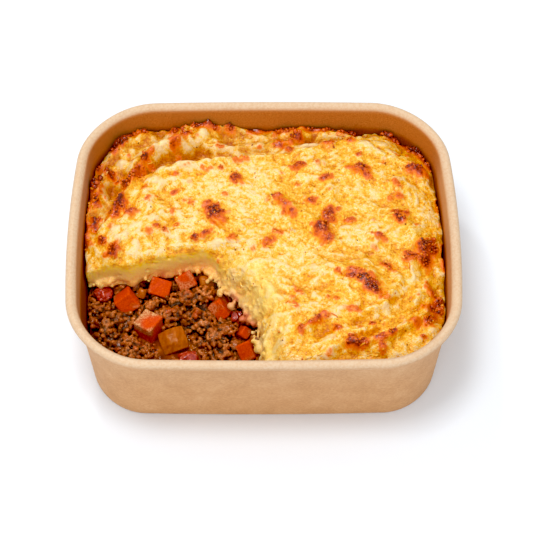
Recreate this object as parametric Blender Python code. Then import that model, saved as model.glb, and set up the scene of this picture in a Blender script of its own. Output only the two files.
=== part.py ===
"""A shepherd's pie in its kraft-paper tub, with the front left corner of the mash scooped away.

Run it with: blender --background --python part.py
Units are metres, +Z is up, the origin is the centre of the tub's base, and the front is -Y.
The tub is one turned-up shell with a rolled rim. In it lie the mince filling, the mash on top of
it, and the diced carrot, onion and tomato that the scooped corner lays bare.
"""
import math

import bmesh
import bpy
from mathutils import Euler, Vector, noise

MM = 0.001
GAP = 0.3 * MM  # air between two pieces that touch

# ---- tub ----
TUB_LENGTH = 172 * MM  # over the rolled rim
TUB_WIDTH = 145 * MM
TUB_HEIGHT = 53 * MM
BEAD_RADIUS = 2 * MM
PAPER = 0.6 * MM
BASE_PAPER = 0.8 * MM
BASE_INSET = 3.7 * MM  # how far the base stands in from the wall's top
TOP_CORNER = 29 * MM  # corner radius of the wall under the rim
BASE_CORNER = 22.5 * MM
BOW_ENDS = 0.060  # how much narrower the short sides get towards the corners
BOW_SIDES = 0.022
LIP_HEIGHT = 1.6 * MM  # the folded lip just under the bead
LIP_PROUD = 0.35 * MM
CORNER_STEPS = 8
LONG_STEPS = 6
SHORT_STEPS = 5

BEAD_Z = TUB_HEIGHT - BEAD_RADIUS
TOP_HALF_LENGTH = TUB_LENGTH / 2 - 2 * BEAD_RADIUS
TOP_HALF_WIDTH = TUB_WIDTH / 2 - 2 * BEAD_RADIUS

# ---- food ----
FILLING_TOP = 27.5 * MM  # the mince's level under the mash
MASH_EDGE = 37.5 * MM  # height of the mash at the wall
MASH_RISE = 7.0 * MM  # how much higher it stands in the middle
MASH_SHOULDER = 0.13  # how fast it rises, as a share of the way to the middle
POOL_LEVEL = 18.6 * MM  # the gravy's level in the scooped corner
MASH_CELL = 4.2 * MM
MINCE_CELL = 3.4 * MM

# The cut through the mash, as seen from above at the filling's level, from the left wall to the
# front wall: x and y in mm, and how far the face leans back over the mash's height.
CUT_PATH = (
    (-110, -26, 2), (-92, -19, 2), (-80, -15, 2), (-70, -12.5, 3), (-60, -14, 4),
    (-50, -10.5, 3.5), (-40, -8.5, 3), (-31, -6.5, 2.5), (-23.5, -7, 2), (-20.5, -13, 3.5),
    (-14.5, -22.5, 6.5), (-8.5, -31, 6.5), (-4.5, -38, 4.5), (-2, -46, 3), (-2, -56, 2),
    (0, -80, 2), (2, -100, 2),
)
CUT_STEPS = 3  # points from one of the path's own to the next
SCOOP_CORNER = (-100, -80)  # closes the cut outside the tub, x and y in mm
CUT_TOP = 60 * MM  # the cutter reaches past the mash both ways
CUT_BOTTOM = 15 * MM
LEAN_HEIGHT = 12 * MM

# The step where the main mound of mash overlaps the lower band behind it: x and y in mm.
TERRACE = ((-84, -6), (-70, 8), (-60, 30), (-47, 38), (-29, 42), (-9, 45), (12, 48), (31, 55), (52, 62))
TERRACE_DROP = 3.0 * MM

# Toasted peaks of the mash: x, y, radius and height in mm.
PEAKS = (
    (-65, 20, 6, 1.8), (-61, 34, 5, 1.6), (-22, 12, 6, 1.8), (27, 9, 7, 2.0), (70, -7, 8, 2.2),
    (43, -26, 6, 1.8), (8, 19, 6, 1.4), (-13, 30, 4, 1.3), (43, 39, 5, 1.5), (60, 10, 5, 1.4),
    (69, 40, 5, 1.6), (76, -34, 5, 1.6), (44, -56, 6, 1.4), (12, 59, 6, 1.4), (59, 62, 5, 1.5),
    (-38, 58, 5, 1.5), (-66, 57, 5, 1.5), (-75, 34, 5, 1.6), (-76, 12, 4, 1.2), (-67, -6, 4, 1.2),
    (-41, 25, 3, 1.0), (18, -48, 5, 1.2), (-31, 0, 4, 1.0), (15, 39, 4, 1.0),
)

# Mounds and hollows of the mince in the scooped corner: x, y, radius and height in mm.
MINCE_MOUNDS = (
    (-71, -33, 9, 3.0), (-60, -46, 8, 3.5), (-40, -23, 8, 3.5), (-29, -21, 8, 3.0),
    (-74, -19, 6, 1.5), (-21, -38, 8, 4.0), (-12, -56, 8, 3.0), (-33, -55, 7, 2.0),
    (-38, -40, 9, -3.5), (-23, -51, 6, -3.0), (-50, -50, 5, -2.5), (-66, -60, 8, 1.5),
)

# Diced pieces: name, centre in mm, turn in degrees about X, Y and Z, size in mm.
CARROTS = (
    ("carrot_1", (-61.2, -20.4, 24.0), (37, 46, -35), (8.5, 8.7, 9.0)),
    ("carrot_2", (-51.0, -32.4, 22.1), (-1, -4, -33), (9.5, 9.7, 10.1)),
    ("carrot_3", (-46.6, -12.6, 23.4), (30, 12, -12), (9.4, 8.0, 8.6)),
    ("carrot_4", (-35.3, -9.2, 24.6), (22, 42, -51), (7.5, 8.3, 9.2)),
    ("carrot_5", (-19.0, -22.6, 21.9), (51, 33, -41), (8.8, 6.8, 8.6)),
    ("carrot_6", (-6.8, -44.0, 20.2), (34, 30, -62), (8.4, 7.2, 9.4)),
    ("carrot_7", (-8.9, -35.3, 21.6), (20, 35, -20), (4.2, 5.0, 6.0)),
)
CARROT_BEVEL = 0.45 * MM

# Onion petals: name, centre, turn, size, and how far the middle bulges, in mm and degrees.
ONIONS = (
    ("onion_1", (-39.8, -38.6, 19.6), (14, -10, 18), (12.0, 11.0, 4.2), 2.2),
    ("onion_2", (-25.9, -10.6, 24.6), (33, 6, 10), (6.4, 6.6, 3.4), 1.0),
    ("onion_3", (-54.6, -16.0, 24.0), (36, 4, -20), (3.8, 4.2, 2.6), 0.5),
    ("onion_4", (-20.0, -14.2, 22.4), (10, 50, -20), (3.8, 4.4, 2.4), 0.6),
)

# Soft lumps of cooked tomato: name, centre and size in mm, and the seed of their lumps.
TOMATOES = (
    ("tomato_1", (-71.6, -17.2, 24.2), (8.0, 8.6, 6.6), 3),
    ("tomato_2", (-32.6, -47.6, 20.2), (9.0, 7.4, 6.0), 8),
    ("tomato_3", (-11.9, -27.6, 22.2), (4.6, 6.0, 5.2), 5),
)


def rounded_outline(half_length, half_width, corner):
    """Points of a round-cornered rectangle whose sides bow outwards, counterclockwise."""
    centres = (
        (half_length - corner, half_width - corner, 0.0, SHORT_STEPS),
        (corner - half_length, half_width - corner, 0.5 * math.pi, LONG_STEPS),
        (corner - half_length, corner - half_width, math.pi, SHORT_STEPS),
        (half_length - corner, corner - half_width, 1.5 * math.pi, LONG_STEPS),
    )
    corners = []
    for cx, cy, start, _ in centres:
        angles = [start + 0.5 * math.pi * i / CORNER_STEPS for i in range(CORNER_STEPS + 1)]
        corners.append([(cx + corner * math.cos(a), cy + corner * math.sin(a)) for a in angles])
    points = []
    for k, arc in enumerate(corners):
        points += arc
        following = corners[(k + 1) % 4][0]
        steps = LONG_STEPS if k % 2 == 0 else SHORT_STEPS
        for i in range(1, steps):
            t = i / steps
            points.append((arc[-1][0] * (1 - t) + following[0] * t,
                           arc[-1][1] * (1 - t) + following[1] * t))
    return [(x * (1 - BOW_ENDS * (y / half_width) ** 2),
             y * (1 - BOW_SIDES * (x / half_length) ** 2)) for x, y in points]


def wall_outline(level, inset=0.0):
    """The wall's outer outline at a height, moved in by inset."""
    t = min(level / BEAD_Z, 1.0)
    narrower = BASE_INSET * (1 - t) + inset
    corner = BASE_CORNER + (TOP_CORNER - BASE_CORNER) * t - inset
    return rounded_outline(TOP_HALF_LENGTH - narrower, TOP_HALF_WIDTH - narrower, corner)


def material(name, color, roughness, metallic=0.0):
    made = bpy.data.materials.new(name)
    made.use_nodes = True
    shader = made.node_tree.nodes["Principled BSDF"]
    shader.inputs["Base Color"].default_value = (*color, 1.0)
    shader.inputs["Roughness"].default_value = roughness
    shader.inputs["Metallic"].default_value = metallic
    return made


def add_object(name, mesh_maker, finish):
    """Makes a mesh object from a filled bmesh, in triangles, so that a cut meets only flat faces."""
    bmesh.ops.triangulate(mesh_maker, faces=mesh_maker.faces[:])
    mesh = bpy.data.meshes.new(name)
    mesh_maker.to_mesh(mesh)
    mesh_maker.free()
    made = bpy.data.objects.new(name, mesh)
    bpy.context.scene.collection.objects.link(made)
    if finish:
        mesh.materials.append(finish)
    return made


def loft(rings):
    """A closed body through rings of (x, y, z), listed so that its faces point out."""
    bm = bmesh.new()
    loops = [[bm.verts.new(point) for point in ring] for ring in rings]
    count = len(rings[0])
    for lower, upper in zip(loops, loops[1:]):
        for i in range(count):
            j = (i + 1) % count
            bm.faces.new((lower[i], lower[j], upper[j], upper[i]))
    bm.faces.new(list(reversed(loops[0])))
    bm.faces.new(loops[-1])
    return bm


def ring(level, inset, z):
    return [(x, y, z) for x, y in wall_outline(level, inset)]


def make_tub(finish):
    """The shell, lofted from under the base, up the outside, over the bead and down the inside."""
    lip_top = BEAD_Z - 0.8 * BEAD_RADIUS
    lip_foot = lip_top - LIP_HEIGHT
    rings = [
        ring(0, 1.0 * MM, 0),
        ring(0, 0.3 * MM, 0.3 * MM),
        ring(1.0 * MM, 0, 1.0 * MM),
        ring(lip_foot, 0, lip_foot - 0.2 * MM),
        ring(lip_foot, -LIP_PROUD, lip_foot + 0.2 * MM),
        ring(lip_top, -LIP_PROUD, lip_top),
    ]
    for degrees in range(-105, 106, 30):
        turn = math.radians(degrees)
        out = BEAD_RADIUS * (1 + math.cos(turn))
        rings.append(ring(BEAD_Z, -out, BEAD_Z + BEAD_RADIUS * math.sin(turn)))
    rings.append(ring(BEAD_Z, -0.35 * MM, BEAD_Z + 1.2 * MM))
    rings.append(ring(BEAD_Z, PAPER, BEAD_Z - 0.3 * MM))
    fillet = 2.4 * MM
    for degrees in (0, 45, 90):
        turn = math.radians(degrees)
        z = BASE_PAPER + fillet * (1 - math.sin(turn))
        rings.append(ring(z, PAPER + fillet * (1 - math.cos(turn)), z))
    return add_object("tub", loft(rings), finish)


def make_plug(name, inset, bottom, top):
    """The tub's inside between two heights, moved in by inset. A cutter."""
    foot = 2.4 * MM if bottom < 3 * MM else 0.0
    rings = [ring(bottom, inset + foot, bottom)]
    if foot:
        rings.append(ring(bottom + foot, inset, bottom + foot))
    rings.append(ring(top, inset, top))
    return hide_cutter(add_object(name, loft(rings), None))


def hide_cutter(cutter):
    cutter.hide_render = True
    cutter.display_type = "WIRE"
    return cutter


def slab(name, xs, ys, top, bottom, finish):
    """A block over the grid lines xs and ys, flat below, with height top(x, y) above."""
    bm = bmesh.new()
    grid = [[bm.verts.new((x, y, top(x, y))) for x in xs] for y in ys]
    for low, high in zip(grid, grid[1:]):
        for i in range(len(xs) - 1):
            bm.faces.new((low[i], low[i + 1], high[i + 1], high[i]))
    border = (grid[0] + [row[-1] for row in grid[1:]] + grid[-1][-2::-1]
              + [row[0] for row in grid[-2:0:-1]])
    feet = [bm.verts.new((v.co.x, v.co.y, bottom)) for v in border]
    for i, foot in enumerate(feet):
        j = (i + 1) % len(feet)
        bm.faces.new((foot, feet[j], border[j], border[i]))
    bm.faces.new(list(reversed(feet)))
    return add_object(name, bm, finish)


def boolean(target, cutter, operation):
    cut = target.modifiers.new(cutter.name, "BOOLEAN")
    cut.operation = operation
    cut.object = cutter
    cut.solver = "EXACT"


def lines(start, end, step):
    """Evenly spaced grid lines from start to end, at most a step apart."""
    count = math.ceil((end - start) / step)
    return [start + (end - start) * i / count for i in range(count + 1)]


def smooth_path(points, steps):
    """A Catmull-Rom curve through the inner points."""
    curve = []
    for before, a, b, after in zip(points, points[1:], points[2:], points[3:]):
        for i in range(steps):
            t = i / steps
            curve.append(tuple(
                0.5 * (2 * q + (r - p) * t + (2 * p - 5 * q + 4 * r - s) * t * t
                       + (3 * q - p - 3 * r + s) * t ** 3)
                for p, q, r, s in zip(before, a, b, after)))
    curve.append(tuple(float(v) for v in points[-2]))
    return curve


def lump(x, y, scale, seed):
    """Smooth noise between about -1 and 1 over a plan position."""
    return noise.noise(Vector((x / scale, y / scale, seed)))


def behind_terrace(x, y):
    """0 in front of the mash's step, 1 behind it, rising over a few millimetres."""
    for (x0, y0), (x1, y1) in zip(TERRACE, TERRACE[1:]):
        if x <= x1 * MM or (x1, y1) == TERRACE[-1]:
            edge = y0 * MM + (y1 - y0) * MM * (x - x0 * MM) / ((x1 - x0) * MM)
            break
    return min(max((y - edge) / (4 * MM), 0.0), 1.0)


def mash_top(x, y):
    """Height of the mash: a dome with a step behind, fork ridges and lumps."""
    across = (abs(x / TOP_HALF_LENGTH) ** 5 + abs(y / TOP_HALF_WIDTH) ** 5) ** 0.2
    inward = max(0.98 - across, 0.0)
    height = MASH_EDGE + MASH_RISE * (1 - math.exp(-inward / MASH_SHOULDER))
    height -= TERRACE_DROP * behind_terrace(x, y) * min(inward / 0.1, 1.0)
    swirl = math.hypot(x - 20 * MM, y - 15 * MM) + 6 * MM * lump(x, y, 30 * MM, 1.5)
    ridges = math.sin(2 * math.pi * swirl / (11 * MM))
    depth = 0.35 + 0.65 * min(max(math.hypot(x - 20 * MM, y - 15 * MM) / (70 * MM) - 0.4, 0), 1)
    height += 1.1 * MM * depth * ridges
    for px, py, radius, rise in PEAKS:
        away = math.hypot(x - px * MM, y - py * MM) / (radius * MM)
        height += rise * MM * math.exp(-2 * away ** 2)
    return height + 1.6 * MM * lump(x, y, 14 * MM, 4.2) + 1.2 * MM * lump(x, y, 6 * MM, 7.1)


def mince_top(x, y):
    """Height of the mince: level under the mash, lumpy and lower towards the front in the scoop."""
    if x > 1 * MM or y > -5 * MM:
        return FILLING_TOP
    back = min(max((y + 42 * MM) / (30 * MM), 0.0), 1.0)
    height = 20.5 * MM + 4.5 * MM * back
    for mx, my, radius, rise in MINCE_MOUNDS:
        away = math.hypot(x - mx * MM, y - my * MM) / (radius * MM)
        height += rise * MM * math.exp(-away ** 2)
    height += 2.4 * MM * lump(x, y, 5 * MM, 2.3)
    pool = POOL_LEVEL + 0.3 * MM * lump(x, y, 9 * MM, 5.7)
    return min(max(height, pool), FILLING_TOP)


def make_scoop():
    """The cutter that takes the front left corner of the mash away."""
    path = smooth_path(CUT_PATH, CUT_STEPS)
    rings = []
    for z in (CUT_BOTTOM, CUT_TOP):
        away = (z - FILLING_TOP) / LEAN_HEIGHT
        points = []
        for i, (x, y, lean) in enumerate(path):
            a, b = path[max(i - 1, 0)], path[min(i + 1, len(path) - 1)]
            along = Vector((b[0] - a[0], b[1] - a[1])).normalized()
            points.append(((x - along.y * lean * away) * MM, (y + along.x * lean * away) * MM, z))
        points.append((SCOOP_CORNER[0] * MM, SCOOP_CORNER[1] * MM, z))
        rings.append(list(reversed(points)))
    return hide_cutter(add_object("scoop_cutter", loft(rings), None))


def dice_mesh(size, bevel):
    bm = bmesh.new()
    bmesh.ops.create_cube(bm, size=1.0)
    bmesh.ops.scale(bm, vec=size, verts=bm.verts)
    bmesh.ops.bevel(bm, geom=bm.edges[:], offset=bevel, segments=1, affect="EDGES")
    return bm


def petal_mesh(size, bulge):
    """A piece of onion layer: a rounded block that bulges in the middle."""
    bm = bmesh.new()
    bmesh.ops.create_cube(bm, size=1.0)
    bmesh.ops.subdivide_edges(bm, edges=bm.edges[:], cuts=2, use_grid_fill=True)
    for v in bm.verts:
        x, y, z = v.co * 2
        side = max(abs(x), abs(y))
        round_off = 0.80 + 0.20 * side / max(math.hypot(x, y), 1e-6) if side > 0.9 else 1.0
        arch = bulge * (1 - 0.5 * (x * x + y * y))
        v.co = Vector((0.5 * size[0] * x * round_off, 0.5 * size[1] * y * round_off,
                       0.5 * size[2] * z * (1 - 0.25 * side) + arch))
    return bm


def lump_mesh(size, seed):
    """A soft uneven lump of cooked tomato."""
    bm = bmesh.new()
    bmesh.ops.create_icosphere(bm, subdivisions=2, radius=0.5)
    for v in bm.verts:
        swell = 1 + 0.45 * noise.noise(v.co * 4.5 + Vector((seed, 0, 0)))
        v.co = Vector([c * s * swell for c, s in zip(v.co, size)])
    return bm


def place(made, centre, turn):
    made.location = Vector(centre) * MM
    made.rotation_euler = Euler([math.radians(a) for a in turn])
    return made


def with_cutter(name, make_mesh, size, centre, turn, finish):
    """A piece, and the slightly larger copy that clears the food around it."""
    piece = place(add_object(name, make_mesh([s * MM for s in size]), finish), centre, turn)
    grown = [s * MM + 3 * GAP for s in size]
    cutter = place(add_object(name + "_room", make_mesh(grown), None), centre, turn)
    return piece, hide_cutter(cutter)


def main():
    for old in list(bpy.data.objects):
        bpy.data.objects.remove(old, do_unlink=True)
    kraft = material("kraft_paper", (0.62, 0.37, 0.17), 0.75)
    potato = material("mashed_potato", (0.92, 0.68, 0.27), 0.55)
    meat = material("minced_meat", (0.20, 0.07, 0.025), 0.40)
    carrot = material("carrot", (0.80, 0.16, 0.01), 0.35)
    onion = material("onion", (0.50, 0.22, 0.05), 0.20)
    tomato = material("tomato", (0.45, 0.06, 0.03), 0.30)

    make_tub(kraft)
    room = PAPER + GAP
    pieces = []
    for name, centre, turn, size, bulge in ONIONS:
        pieces.append(with_cutter(name, lambda s, b=bulge: petal_mesh(s, b * MM),
                                  size, centre, turn, onion))
    for name, centre, turn, size in CARROTS:
        pieces.append(with_cutter(name, lambda s: dice_mesh(s, CARROT_BEVEL),
                                  size, centre, turn, carrot))
    for name, centre, size, seed in TOMATOES:
        pieces.append(with_cutter(name, lambda s, k=seed: lump_mesh(s, k),
                                  size, centre, (0, 0, 0), tomato))

    half_length, half_width = TUB_LENGTH / 2, TUB_WIDTH / 2
    fine_x = lines(-half_length, 2 * MM, MINCE_CELL)
    fine_y = lines(-half_width, -4 * MM, MINCE_CELL)
    mince = slab("mince_filling", fine_x + [half_length], fine_y + [half_width], mince_top,
                 -10 * MM, meat)
    boolean(mince, make_plug("mince_plug", room, BASE_PAPER + GAP, FILLING_TOP + 10 * MM),
            "INTERSECT")
    mash = slab("mash_topping", lines(-half_length, half_length, MASH_CELL),
                lines(-half_width, half_width, MASH_CELL), mash_top, FILLING_TOP - 10 * MM, potato)
    boolean(mash, make_plug("mash_plug", room + 0.4 * MM, FILLING_TOP + GAP, TUB_HEIGHT),
            "INTERSECT")
    boolean(mash, make_scoop(), "DIFFERENCE")
    for piece, cutter in pieces:
        boolean(mince, cutter, "DIFFERENCE")
        boolean(mash, cutter, "DIFFERENCE")


main()
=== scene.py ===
"""Looks of the shepherd's pie in its kraft-paper tub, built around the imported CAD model.

Lengths are in millimetres up to the moment a mesh is made, and +Z is up. The mash and the mince
are surfaces of distance fields on grids, so that ridges, grains and torn edges are real shape.
"""
import itertools
import math

import bmesh
import bpy
import numpy as np
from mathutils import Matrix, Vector
from mathutils.bvhtree import BVHTree


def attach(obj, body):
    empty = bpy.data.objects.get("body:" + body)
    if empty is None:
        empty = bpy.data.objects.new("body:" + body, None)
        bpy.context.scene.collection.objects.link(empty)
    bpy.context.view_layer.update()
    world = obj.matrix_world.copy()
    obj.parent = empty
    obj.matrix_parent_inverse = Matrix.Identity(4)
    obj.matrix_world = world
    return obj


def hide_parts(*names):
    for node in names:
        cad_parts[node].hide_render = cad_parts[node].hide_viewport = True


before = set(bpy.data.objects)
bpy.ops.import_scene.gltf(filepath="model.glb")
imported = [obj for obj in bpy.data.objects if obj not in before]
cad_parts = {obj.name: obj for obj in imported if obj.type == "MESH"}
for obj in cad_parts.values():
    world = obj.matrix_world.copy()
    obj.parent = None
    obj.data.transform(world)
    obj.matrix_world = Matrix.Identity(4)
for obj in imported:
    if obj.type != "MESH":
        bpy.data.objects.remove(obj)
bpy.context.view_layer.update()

MM = 0.001

# ---- tub, as the CAD has it ----
TUB_HALF_LENGTH = 86.0
TUB_HALF_WIDTH = 72.5
TUB_HEIGHT = 53.0
BEAD_RADIUS = 2.0
PAPER = 0.6
BASE_PAPER = 0.8
BASE_INSET = 3.7
TOP_CORNER = 29.0
BASE_CORNER = 22.5
BOW_ENDS = 0.060
BOW_SIDES = 0.022
LIP_HEIGHT = 6.2  # longer than the CAD's, so that its edge shows below the bead
LIP_PROUD = 0.35
FILLET = 2.4  # inner round between the base and the wall
CORNER_STEPS = 16  # facets round a corner of the tub
SIDE_STEPS = 18  # facets along a side
BEAD_Z = TUB_HEIGHT - BEAD_RADIUS
WALL_LENGTH = TUB_HALF_LENGTH - 2 * BEAD_RADIUS
WALL_WIDTH = TUB_HALF_WIDTH - 2 * BEAD_RADIUS

# ---- food, as the CAD has it ----
FILLING_TOP = 27.5
MASH_CROWN = 44.5
MASH_SHOULDER = 0.13  # how fast the mash rises, as a share of the way to the middle
POOL_LEVEL = 18.6
# The cut at the filling's level, and how far it leans over LEAN_HEIGHT: x, y, lean.
CUT_PATH = (
    (-110, -26, 2), (-92, -19, 2), (-80, -15, 2), (-70, -12.5, 3), (-60, -14, 4),
    (-50, -10.5, 3.5), (-40, -8.5, 3), (-31, -6.5, 2.5), (-23.5, -7, 2), (-20.5, -13, 3.5),
    (-14.5, -22.5, 6.5), (-8.5, -31, 6.5), (-4.5, -38, 4.5), (-2, -46, 3), (-2, -56, 2),
    (0, -80, 2), (2, -100, 2),
)
LEAN_HEIGHT = 12.0
# Line behind which the mash lies lower.
TERRACE = ((-84, -6), (-70, 8), (-60, 30), (-47, 38), (-29, 42), (-9, 45), (12, 48), (31, 55), (52, 62))
TERRACE_DROP = 4.0

# ---- mash, finer than the CAD ----
CELL = 0.66  # grid spacing of the mash
MASH_LEVEL = 40.0  # height at which the mash's distance from the wall is taken
PEAKS_FROM = 48.5  # peaks of the mash above this height are pressed down
# Tomato stains at the foot of the cut: x, y, radius.
STAINS = (
    (-18, -18, 3.5), (-13, -25, 4.5), (-9, -32, 4.0), (-5, -38, 3.0), (-45, -9, 2.0), (-66, -12, 3.0),
)
# Little holes in the cut face: x, y, z, radius.
PITS = (
    (-49, -9.0, 37, 0.8), (-37, -5.5, 36.5, 0.9), (-34, -5.0, 36, 0.8), (-52, -10.0, 34, 0.7),
    (-58, -13.0, 35, 0.6), (-33, -6.0, 32, 0.8), (-28, -5.5, 33, 0.7), (-42, -7.5, 39, 0.7),
    (-64, -12.5, 33, 0.8), (-70, -12.0, 36, 0.7), (-22, -11.0, 36, 0.8), (-12, -27.0, 37, 0.9),
)
# Height of the mash against the wall: x, y, height.
EDGE_HEIGHTS = (
    (-80, 15, 38.5), (-78, -15, 35.5), (-70, 52, 37.5), (-45, 66, 39), (0, 67, 39.5), (36, 66, 37.5),
    (52, 64, 36), (66, 57, 34), (76, 42, 36), (80, 10, 38), (80, -27, 36.5), (66, -55, 38),
    (30, -66, 39.5), (0, -66, 39),
)
# Direction in which the mash was combed: x, y, degrees from +X.
COMBING = (
    (-76, 0, 80), (-75, 30, 75), (-66, 19, 62), (-60, 34, 58), (-52, 47, 45), (-66, 55, 50),
    (-37, 58, 20), (-40, 66, 12), (0, 62, 5), (0, 47, 3), (15, 60, 18), (35, 64, -5), (60, 58, -30),
    (74, 42, -60), (79, 15, -85), (70, -8, 60), (76, -30, 70), (66, -42, 50), (50, -52, 25),
    (37, -54, 12), (20, -46, 35), (25, -58, 8), (5, -57, 60), (43, -24, -35), (54, -16, -35),
    (14, -28, -35), (16, -5, -25), (10, 18, -50), (28, 4, 65), (37, 9, 10), (60, 11, 20),
    (43, 38, -35), (28, 33, 25), (60, 30, -40), (-22, 12, -60), (-31, 0, 20), (-48, 5, 30),
    (-40, 28, 10), (-10, 32, -20), (0, -20, -40), (-40, -4, 15), (-65, -8, 20),
)
# Swirl ridges, and valleys where the height is negative: height, half width, points.
RIDGES = (
    (4.2, 3.0, ((-73, 6), (-67, 18), (-62, 30), (-56, 42), (-47, 51), (-37, 57), (-26, 59))),
    (3.6, 2.6, ((-78, 8), (-77, 24), (-73, 38), (-68, 51), (-58, 61), (-44, 66), (-30, 68))),
    (2.2, 2.4, ((-62, 8), (-57, 22), (-51, 33), (-40, 39), (-26, 42), (3, 45), (24, 49), (40, 54))),
    (2.4, 2.4, ((-22, 52), (-6, 56), (7, 57), (18, 61), (34, 63), (48, 60))),
    (-2.0, 2.0, ((-70, 26), (-66, 38), (-60, 48), (-51, 57), (-38, 62))),
    (-1.6, 2.2, ((-50, 45), (-36, 49), (-18, 51), (0, 52), (14, 55), (30, 58))),
    (2.0, 2.0, ((15, -20), (27, -16), (35, -17), (45, -25), (52, -34))),
    (3.3, 2.0, ((31, -46), (43, -42), (49, -38), (57, -28), (60, -20))),
    (3.6, 1.9, ((34, -51), (46, -49), (55, -45), (63, -38), (70, -28))),
    (3.8, 2.1, ((26, -58), (37, -56), (49, -55), (60, -48), (68, -40), (74, -30))),
    (2.4, 2.0, ((10, -52), (16, -49), (22, -44), (29, -40))),
    (2.2, 2.4, ((6, 24), (14, 16), (22, 8), (28, -2), (36, -6))),
    (2.0, 2.2, ((36, 40), (46, 35), (56, 30), (66, 30))),
    (2.2, 2.6, ((52, 12), (60, 10), (66, 2), (72, -6))),
    (1.8, 2.2, ((26, 12), (30, 22), (28, 33))),
    (-2.6, 2.2, ((2, -50), (5, -58), (7, -68))),
    (-2.0, 2.2, ((22, -4), (31, -10), (42, -10), (52, -8))),
    (-1.8, 2.0, ((46, 24), (56, 20), (68, 20))),
)
# Toasted patches: x, y, long and short radius, degrees of the long one, strength.
SPOTS = (
    (-61, 33, 4.2, 3.0, 55, 1.0), (-66, 19, 5.6, 3.2, 65, 1.0), (-60, 14, 3.5, 2.6, 40, 0.55),
    (-54, 46, 2.6, 1.8, 40, 0.9), (-57, 40, 3.0, 1.6, 50, 0.6), (-37, 59, 2.6, 2.0, 20, 1.0),
    (-41, 53, 3.2, 2.2, 40, 0.6), (-36, 68, 3.0, 1.6, 10, 0.95), (-67, 56, 4.0, 2.4, 50, 0.95),
    (-65, 61, 1.8, 1.4, 45, 0.9), (-71, 40, 2.6, 2.0, 60, 0.9), (-77, 33, 3.6, 2.2, 75, 1.0),
    (-76, 24, 3.0, 1.8, 80, 0.8), (-76, 11, 4.2, 1.8, 78, 0.95), (-67, -6, 2.8, 2.4, -50, 0.95),
    (-72, 0, 2.6, 1.6, -30, 0.7), (-13, 32, 3.0, 2.8, 90, 0.75), (-22, 13, 6.5, 3.6, -62, 0.9),
    (-31, 0, 1.6, 1.3, 0, 0.85), (-26, 2, 2.6, 1.1, 25, 0.65), (-48, 5, 3.6, 2.0, 35, 0.5),
    (-41, 26, 2.0, 1.7, 0, 0.6), (-40, 35, 1.8, 1.3, 0, 0.4), (-34, 20, 2.2, 1.2, -45, 0.5),
    (-11, 43, 2.6, 1.0, 0, 0.6), (-66, 37, 1.8, 1.2, 30, 0.7), (-25, 68, 2.2, 1.2, 0, 0.95),
    (-16, 68, 1.8, 1.0, 0, 0.8), (-14, -1, 1.6, 1.2, -30, 0.6), (8, 57, 2.6, 2.0, 25, 0.95),
    (15, 60, 3.0, 2.0, 15, 1.0), (24, 68, 3.4, 1.4, -5, 1.0), (34, 68, 2.6, 1.6, 0, 0.8),
    (41, 66, 2.8, 1.6, -10, 0.85), (30, 54, 3.2, 2.0, 15, 0.6), (40, 57, 1.8, 1.4, -50, 0.75),
    (58, 64, 3.4, 2.6, -30, 1.0), (71, 56, 3.6, 2.2, -50, 0.85), (16, 39, 3.4, 1.8, -8, 0.75),
    (43, 39, 4.4, 2.2, -10, 0.9), (46, 35, 3.4, 1.8, -45, 0.6), (28, 33, 3.4, 1.6, 25, 0.7),
    (70, 40, 4.6, 3.4, -10, 0.75), (60, 30, 3.0, 2.2, -20, 0.5), (5, 22, 2.4, 1.6, 10, 0.9),
    (9, 18, 3.6, 1.7, -45, 0.65), (13, 13, 2.4, 1.2, -30, 0.65), (20, 20, 1.8, 1.5, 0, 0.85),
    (23, 21, 1.4, 0.9, 0, 0.55), (29, 11, 3.8, 2.4, 75, 0.95), (26, 4, 4.2, 3.2, 40, 0.85),
    (29, -2, 3.2, 2.4, 60, 0.8), (37, 9, 3.2, 2.0, 0, 0.6), (60, 11, 3.2, 2.6, -60, 0.9),
    (64, 14, 2.2, 1.4, 0, 0.5), (60, 23, 3.4, 1.6, 5, 0.5), (52, 0, 2.6, 1.3, -30, 0.6),
    (2, -3, 2.8, 2.4, 30, 0.6), (6, 2, 2.4, 1.6, 60, 0.45), (72, -4, 4.6, 3.8, 60, 1.0),
    (64, -10, 3.0, 2.4, 0, 0.9), (71, -11, 4.2, 3.2, 55, 0.8), (54, -15, 3.4, 1.4, -35, 0.75),
    (44, -26, 5.6, 3.0, -38, 1.0), (38, -22, 3.4, 2.2, -30, 0.75), (48, -30, 3.2, 2.4, -35, 0.9),
    (14, -28, 3.4, 1.4, -35, 0.45), (75, -31, 2.6, 2.0, 80, 1.0), (74, -36, 3.6, 2.6, 70, 0.9),
    (71, -44, 2.2, 1.8, 0, 1.0), (64, -45, 3.0, 1.8, 0, 0.5), (24, -43, 2.6, 1.4, 35, 0.6),
    (20, -46, 3.4, 1.5, 35, 0.55), (16, -49, 1.8, 1.4, 20, 0.75), (31, -48, 2.8, 1.2, -15, 0.65),
    (30, -33, 2.6, 1.0, -25, 0.55), (39, -39, 3.4, 1.6, -10, 0.55), (39, -56, 5.5, 1.9, 6, 0.95),
    (37, -53, 1.6, 1.1, 0, 0.75), (49, -54, 2.0, 1.5, 0, 0.95), (54, -52, 1.6, 1.3, 0, 0.9),
    (46, -46, 1.5, 0.9, -40, 0.7), (51, -59, 3.0, 1.2, 10, 0.5), (73, -27, 3.0, 1.6, 60, 0.5),
)
SMALL_SPOTS = 120  # more toasted tips, scattered at random
RELIEF_SHREDS = 13000  # shreds of riced potato in the relief of the mash
LOOSE_SHREDS = 260  # shreds lying on it as pieces of their own
CRUMBS = 1100  # toasted granules
SPECKS = 70  # tiny dark flakes on the pale mash
KNOBS = 300  # grains of potato along the foot of the cut
KNOB_CLUSTERS = 30

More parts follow.
